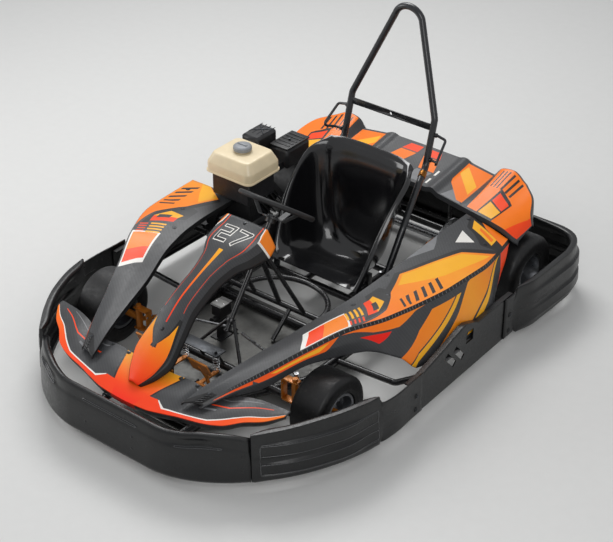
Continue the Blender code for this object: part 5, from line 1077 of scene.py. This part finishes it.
bm = bmesh.new()
add_box(bm, (0.17, 0.050, 0.004), (0.0, -0.472, PLATE_Z), bevel=0.0008)
for x in (-SPRING_X, SPRING_X):
    for radius, low, high, sides in ((0.006, 0.1963, 0.2005, 6), (0.004, 0.2005, 0.2055, 12)):
        add_rod(bm, radius, (x, SPRING_Y, low), (x, SPRING_Y, high), sides)
fitted(from_bmesh("spring_plate_top", bm, DARK_STEEL), "chassis_frame", slot="bare_steel")

path = [(-0.165, -0.7703, RAIL_Z), (-0.165, RING_FRONT_Y + 0.002 + BUMPER_WALL + GAP + BAR_FLAT, RAIL_Z)]
path += [(-x, y, z) for x, y, z in reversed(path)]
bar = wires("front_bar_tube", [(rounded(path, 0.05), BAR_R)], FRAME_PAINT)
fitted(bar, "front_bumper_bar", slot="frame_paint")
rear_y = RING_REAR_Y - BUMPER_WALL * 2 - 0.0129 - BAR_FLAT
path = [(-RAIL_X, 0.8403, RAIL_Z), (-RAIL_X, rear_y, RAIL_Z), (RAIL_X, rear_y, RAIL_Z), (RAIL_X, 0.8403, RAIL_Z)]
bar = wires("rear_bar_tube", [(rounded(path, 0.03), BAR_R)], FRAME_PAINT)
fitted(bar, "rear_bumper_bar", slot="frame_paint")
start_x, y0, y1 = RAIL_X + RAIL_R + GAP, -0.13, 0.36
for s in (1, -1):
    x0, x1 = s * (side_x(y0) - LAP - BAR_FLAT), s * (side_x(y1) - LAP - BAR_FLAT)
    path = [(s * start_x, y0, RAIL_Z), (s * 0.55, y0, 0.095), (x0, y0 + 0.03, SIDE_BAR_Z)]
    path += [(x1, y1 - 0.03, SIDE_BAR_Z), (s * 0.55, y1, 0.095), (s * start_x, y1, RAIL_Z)]
    bar = wires("side_bar_tube" + suffix(s), [(rounded(path, 0.035), BAR_R)], FRAME_PAINT)
    fitted(bar, "side_bar" + suffix(s), slot="frame_paint")


# Roll hoop

HOOP_R, HOOP_TOP, HOOP_Y = 0.0125, 1.0385, 0.668
CROWN_X, CROWN_Z = 0.060, 0.056

leg = [(0.232, 0.20, RAIL_Z + 0.0143), (0.232, 0.212, RAIL_Z + 0.0643), (0.232, 0.342, 0.353)]
leg += [(0.205, 0.470, 0.470), (0.184, 0.540, 0.500), (0.183, 0.587, 0.671), (0.056, HOOP_Y, 0.9945)]
low = rounded(leg, 0.045, 10)[:-1]
crown = []
for i in range(33):
    a = math.radians(20 + 140 * i / 32)
    crown.append((CROWN_X * math.cos(a), HOOP_Y, HOOP_TOP - HOOP_R - CROWN_Z + CROWN_Z * math.sin(a)))
path = low + crown + [(-x, y, z) for x, y, z in reversed(low)]
fitted(wires("hoop_tube", [(path, HOOP_R)], HOOP_PAINT, 7), "roll_hoop", slot="frame_paint")
bm = bmesh.new()
add_box(bm, (0.350, 0.004, 0.026), (0.0, 0.5755, 0.6425), bevel=0.0008)
plate = from_bmesh("hoop_plate", bm, HOOP_PAINT)
bm = bmesh.new()
add_rod(bm, 0.006, (0.0, 0.55, 0.6425), (0.0, 0.62, 0.6425), 32, bevel=0)
cutter = from_bmesh("plate_hole_guide", bm, FRAME_PAINT)
hole = plate.modifiers.new("hole", "BOOLEAN")
hole.operation, hole.object = "DIFFERENCE", cutter
bpy.context.view_layer.update()
mesh = bpy.data.meshes.new_from_object(plate.evaluated_get(bpy.context.evaluated_depsgraph_get()))
plate.modifiers.clear()
plate.data = mesh
bpy.data.objects.remove(cutter, do_unlink=True)
fitted(plate, "roll_hoop", slot="frame_paint")

for s in (1, -1):
    clear = HOOP_R + GAP
    path = [(s * (0.1845 + clear), 0.575, 0.6205), (s * 0.240, 0.578, 0.6095), (s * 0.252, 0.500, 0.545)]
    path += [(s * 0.226, 0.546, 0.530), (s * (0.184 + clear), 0.548, 0.530)]
    rod = wires("belt_rod" + suffix(s), [(rounded(path, 0.010, 6), 0.005)], HOOP_PAINT)
    fitted(rod, "belt_bracket" + suffix(s), slot="frame_paint")


# Wheels


def wheel_tyre(name, radius, width, rim_width, centre, body):
    """Flat tread with worn edges, a small bevelled shoulder, and a raised line round each side wall."""
    half, bead = width / 2, BEAD + GAP
    seat_half = rim_width / 2 - 0.0043
    rise = radius - bead
    outer = [(bead, seat_half), (0.0705, seat_half + 0.0004), (0.0725, seat_half + 0.001)]
    wall = [(0.16, 0.955), (0.30, 0.982), (0.34, 0.982), (0.38, 0.982), (0.42, 0.990), (0.58, 1.0), (0.74, 0.985)]
    outer += [(bead + rise * up, half * out + (0.0008 if up in (0.34, 0.38) else 0.0)) for up, out in wall]
    outer.append((bead + rise * 0.85, half * 0.940))
    tread = [(0.0060, 0.885), (0.0026, 0.840), (0.0009, 0.795), (0.0002, 0.70), (0.0, 0.45), (0.0, 0.15)]
    outer += [(radius - down, half * out) for down, out in tread]
    inner = [(bead, -seat_half + 0.009), (radius - 0.009, -half * 0.72), (radius - 0.009, half * 0.72)]
    profile = outer + [(r, -a) for r, a in reversed(outer)] + inner + [(bead, seat_half - 0.009)]
    fitted(turned(name + "_fine", profile, RUBBER, 72, centre, angle=50), name, slot="tyre_rubber", body=body)


def wheel_rim(name, side, width, bore, dish, hub_in, centre, body):
    half, inside = width / 2, BEAD - 0.004
    lip = [(0.0695, half), (0.0705, half - 0.0008), (0.0710, half - 0.002), (0.0705, half - 0.0036)]
    lip += [(BEAD, half - 0.005), (BEAD - 0.002, half - 0.018)]
    hub = [(inside, dish - 0.006), (inside - 0.006, dish - 0.004), (0.028, dish - 0.002), (0.026, dish - 0.004)]
    hub += [(0.026, hub_in), (bore, hub_in), (bore, dish + 0.012), (0.022, dish + 0.012), (0.024, dish + 0.009)]
    hub += [(0.030, dish + 0.007), (inside - 0.008, dish + 0.006), (inside - 0.001, dish + 0.010)]
    profile = lip + [(r, -a) for r, a in reversed(lip)] + [(inside, -half)] + hub
    profile += [(inside, dish + 0.016), (inside, half - 0.003), (inside + 0.002, half)]
    profile = profile if side > 0 else [(r, -a) for r, a in reversed(profile)]
    fitted(turned(name + "_fine", profile, ALLOY, 64, centre, angle=38), name, slot="alloy", body=body)
    bm = bmesh.new()
    face = centre[0] + side * (dish + 0.0068)
    for i in range(4):
        a = math.radians(45 + 90 * i)
        y, z = centre[1] + 0.038 * math.cos(a), centre[2] + 0.038 * math.sin(a)
        add_rod(bm, 0.0075, (face, y, z), (face + side * 0.007, y, z), 6)
        add_rod(bm, 0.0038, (face + side * 0.007, y, z), (face + side * 0.011, y, z), 12)
    x, y, z = centre[0] + side * half * 0.62, centre[1], centre[2] + inside - 0.001
    add_rod(bm, 0.0028, (x, y, z), (x, y, z - 0.016), 12)
    fitted(from_bmesh(name + "_nuts", bm, STEEL), body=body)


for side in (1, -1):
    tail = suffix(side)
    centre = (side * 0.48, FRONT_AXLE_Y, FRONT_R)
    wheel_tyre("front_tyre" + tail, FRONT_R, 0.125, 0.112, centre, "wheel_f" + tail[1])
    wheel_rim("front_rim" + tail, side, 0.112, 0.0088, 0.012, -0.040, centre, "wheel_f" + tail[1])
    centre = (side * 0.49, REAR_AXLE_Y, REAR_R)
    wheel_tyre("rear_tyre" + tail, REAR_R, 0.18, 0.162, centre, "rear_axle_group")
    wheel_rim("rear_rim" + tail, side, 0.162, 0.0153, 0.020, -0.060, centre, "rear_axle_group")


# Steering


def around(centre, degrees, radius):
    """A place in the steering wheel's plane."""
    a = math.radians(degrees)
    return centre + (LEFT * math.cos(a) + DOWN * math.sin(a)) * radius


ring = [around(WHEEL_CENTRE, 3.75 * i, 0.1295) for i in range(96)]
grip = wires("grip_ring", [(ring, 0.0092)], GRIP, 7, closed=True)
fitted(grip, "steering_grip", slot="grip_rubber", body="steering")
hub = column_point(0.045)
bm = bmesh.new()
add_rod(bm, 0.0075, hub + UP * 0.003, hub + UP * 0.010, 6)
for i in range(3):
    p = around(hub, 30 + 120 * i, 0.022)
    add_rod(bm, 0.004, p + UP * 0.003, p + UP * 0.006, 12)
fitted(from_bmesh("hub_bolts", bm, DARK_STEEL), body="steering")


# Engine, drive and pedals

tank_x, tank_y, tank_w, tank_l, tank_low, tank_top = -0.354, 0.163, 0.216, 0.186, 0.468, 0.545
CAP_R = 0.0335
levels = [(0.0, 0.985), (0.012, 1.0), (0.080, 1.0), (0.092, 0.994), (0.096, 0.972), (0.30, 0.968), (0.46, 0.964)]
levels += [(0.51, 0.958), (0.55, 0.945), (0.92, 0.812), (0.965, 0.792), (0.99, 0.765), (1.0, 0.735), (1.0, 0.40)]
rings = []
for share, size in levels:
    half_w, half_l, r = tank_w / 2 * size, tank_l / 2 * size, 0.026 * size
    ring = []
    for sx, sy, start in ((1, 1, 0), (-1, 1, 90), (-1, -1, 180), (1, -1, 270)):
        for i in range(9):
            a = math.radians(start + 90 * i / 8)
            x = tank_x + sx * (half_w - r) + r * math.cos(a)
            y = tank_y + sy * (half_l - r) + r * math.sin(a)
            ring.append((x, y, tank_low + (tank_top - tank_low) * share))
    rings.append(ring)
bm = bmesh.new()
rings = [[bm.verts.new(p) for p in ring] for ring in rings]
for low, high in zip(rings, rings[1:]):
    for i in range(len(low)):
        j = (i + 1) % len(low)
        bm.faces.new((low[i], low[j], high[j], high[i]))
bm.faces.new(list(reversed(rings[0])))
bm.faces.new(rings[-1])
add_rod(bm, 0.0245, (tank_x, tank_y, tank_top - 0.002), (tank_x, tank_y, tank_top + 0.006), 40)
fitted(from_bmesh("tank_fine", bm, TANK, angle=50), "fuel_tank", slot="tank_paint")
cap_low = tank_top + 0.0063
profile = [(0.0, 0.018), (0.022, 0.018), (0.026, 0.0172), (0.0315, 0.0145), (CAP_R, 0.012), (CAP_R, 0.0)]
profile.append((0.0, 0.0))
cap = turned("cap_fine", profile, CAP_GREY, 48, (tank_x, tank_y, cap_low), upright=True, closed=False)
fitted(cap, "fuel_cap", slot="grey_plastic", body="cap")
bm = bmesh.new()
add_box(bm, (0.042, 0.008, 0.006), (tank_x, tank_y, cap_low + 0.0195), bevel=0.002)
for i in range(24):
    a = 2 * math.pi * i / 24
    p = (tank_x + 0.0334 * math.cos(a), tank_y + 0.0334 * math.sin(a), cap_low + 0.006)
    add_box(bm, (0.0016, 0.003, 0.010), p, Matrix.Rotation(a, 3, "Z"), 0.0004)
fitted(from_bmesh("cap_ridge", bm, CAP_GREY), "fuel_cap", slot="grey_plastic", body="cap")

for mat, widths in (
    (BUMPER, {"side_bumper_l": 0.0012, "side_bumper_r": 0.0012}),
    (ENGINE, {"engine_block": 0.0012, "air_cleaner": 0.004, "muffler": 0.003, "recoil_cover": 0.0008}),
    (GRIP, {"recoil_handle": 0.0015}),
    (DARK_STEEL, {"clutch_drum": 0.0008, "chain": 0.0004}),
    (PANEL_BLACK, {"chain_guard": 0.0006, "brake_master_cylinder": 0.001, "steering_wheel_frame": 0.0006}),
    (ALLOY, {"axle_sprocket": 0.0004, "axle_bearing_l": 0.001, "axle_bearing_r": 0.001}),
    (STEEL, {"rear_axle": 0.001, "brake_disc": 0.0005, "tie_rod_l": 0.0005, "tie_rod_r": 0.0005}),
    (GOLD, {"brake_caliper": 0.001, "throttle_pedal": 0.0006, "brake_pedal": 0.0006}),
    (GOLD, {"spindle_l": 0.0006, "spindle_r": 0.0006}),
    (PAN_METAL, {"floor_pan": 0.0005}),
    (FRAME_PAINT, {"cowl_bracket": 0.0004, "steering_column": 0.0006}),
):
    for node, width in widths.items():
        dressed(node, mat, width)

low, high, wire, turns, coil = 0.126, 0.192, 0.0016, 6, 0.0105
for s, pedal, keep in ((1, "brake", 0.60), (-1, "throttle", 0.52)):
    points = []
    for i in range(turns * 24 + 1):
        a = 2 * math.pi * i / 24
        z = low + wire + (high - low - 2 * wire) * i / (turns * 24)
        points.append((s * SPRING_X + coil * math.cos(a), SPRING_Y + coil * math.sin(a), z))
    spring = wires(pedal + "_return_spring_wire", [(points, wire)], STEEL, 3)
    fitted(spring, pedal + "_return_spring", slot="bare_steel")
    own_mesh(spring)


# Small parts on the engine, seat and frame

bm = bmesh.new()
x, y, z = -0.372, 0.452, 0.4615
add_box(bm, (0.086, 0.134, 0.006), (x, y, z), bevel=0.002)
for k in range(5):
    add_box(bm, (0.070, 0.006, 0.004), (x, y - 0.044 + 0.022 * k, z + 0.0035), bevel=0.0012)
add_rod(bm, 0.006, (x, y, z), (x, y, z + 0.010), 6, index=1)
fitted(from_bmesh("air_cleaner_lid", bm, ENGINE, DARK_STEEL), slot="engine_black")


def node_top(node):
    """The middle of a node's box, at the height of its top, and the box's size."""
    low, high = [Vector(corner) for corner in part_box(node)]
    return (low.x + high.x) / 2, (low.y + high.y) / 2, high.z, high - low


x, y, z, _ = node_top("muffler")
runs = []
for s in (1, -1):
    a, b = [(x + side * s * 0.030, y + side * 0.028, z + 0.0008) for side in (-1, 1)]
    runs.append(([a, (x, y, z + 0.0012), b], 0.0022))
for k in range(4):
    bar = x - 0.030 + 0.020 * k
    runs.append(([(bar, y - 0.042, z + 0.0002), (bar, y + 0.042, z + 0.0002)], 0.0014))
fitted(wires("muffler_guard", runs, DARK_STEEL, 3), slot="engine_black")

x, y, z, size = node_top("brake_master_cylinder")
bm = bmesh.new()
add_box(bm, (min(0.052, size.x), min(0.040, size.y), 0.004), (x, y, z - 0.001), bevel=0.0012)
for bolt_x in (x + 0.016, x - 0.016):
    add_rod(bm, 0.0028, (bolt_x, y, z), (bolt_x, y, z + 0.0025), 12, index=1)
fitted(from_bmesh("reservoir_lid", bm, BOX_GREY, STEEL), slot="grey_plastic")

bm = bmesh.new()
for s in (1, -1):
    for x, y, low, high, radius, sides in (
        (SEAT_TUBE_X, 0.24, 0.0895, 0.0945, 0.0075, 6),
        (SEAT_TUBE_X, 0.40, 0.0895, 0.0945, 0.0075, 6),
        (*NOSE_POST, 0.2205, 0.2240, 0.0060, 12),
    ):
        add_rod(bm, radius, (s * x, y, low), (s * x, y, high), sides)
    for y in (-0.42, -0.398):
        add_rod(bm, 0.0042, (s * 0.306, y, 0.150), (s * 0.2985, y, 0.150), 6)
fitted(from_bmesh("frame_bolts", bm, STEEL), "chassis_frame", slot="bare_steel")

collars, clamps = bmesh.new(), bmesh.new()
for s in (1, -1):
    low, high = Vector((s * 0.1975, 0.495, 0.4807)), Vector((s * 0.1905, 0.518, 0.4906))
    add_rod(collars, 0.0142, low, high, 28)
    add_rod(collars, 0.0050, low + Vector((0, 0, 0.012)), low + Vector((0, 0, 0.019)), 6)
    for x, y, z in ((0.196, 0.577, 0.6165), (0.197, 0.5475, 0.530)):
        add_rod(clamps, 0.0085, (s * x, y, z), (s * (x + 0.006), y, z), 20)
        add_rod(clamps, 0.0060, (s * (x + 0.006), y, z), (s * (x + 0.010), y, z), 6)
fitted(from_bmesh("hoop_collars", collars, BRASS), "roll_hoop", slot="frame_paint")
fitted(from_bmesh("belt_rod_clamps", clamps, HOOP_PAINT), "roll_hoop", slot="frame_paint")


# Studio

floor_mat = stuff("floor_pale", "#D9D9D7", 0.55, grain=40.0, bump=0.02, vary=0.04, tint=0.01)
bm = bmesh.new()
bmesh.ops.create_grid(bm, x_segments=8, y_segments=8, size=30.0)
floor = from_bmesh("studio_floor", bm, floor_mat)

world = bpy.data.worlds.new("studio")
bpy.context.scene.world = world
world.use_nodes = True
back = world.node_tree.nodes["Background"]
back.inputs["Color"].default_value = (0.86, 0.87, 0.89, 1.0)
back.inputs["Strength"].default_value = 0.55


def lamp(name, place, aim, size, power):
    data = bpy.data.lights.new(name, "AREA")
    data.shape = "RECTANGLE"
    data.size, data.size_y = size
    data.energy = power
    obj = bpy.data.objects.new(name, data)
    obj.location = place
    obj.rotation_euler = (Vector(aim) - Vector(place)).to_track_quat("-Z", "Y").to_euler()
    bpy.context.scene.collection.objects.link(obj)


lamp("key_light", (-1.6, 1.6, 3.4), (0.0, 0.0, 0.2), (2.2, 1.6), 75)
lamp("fill_light", (2.6, -2.4, 2.6), (0.0, -0.2, 0.2), (2.0, 2.0), 36)
lamp("side_light", (-3.0, -1.6, 1.8), (0.0, -0.2, 0.2), (1.6, 1.6), 28)

camera = bpy.data.cameras.new("camera")
camera.sensor_width = 36.0
camera.lens = 94.02
camera_obj = bpy.data.objects.new("camera", camera)
camera_obj.location = (3.0, -3.671, 3.2505)
camera_obj.rotation_euler = (math.radians(57.7), 0.0, math.radians(38.6))
bpy.context.scene.collection.objects.link(camera_obj)
bpy.context.scene.camera = camera_obj
bpy.context.scene.view_settings.view_transform = "Standard"
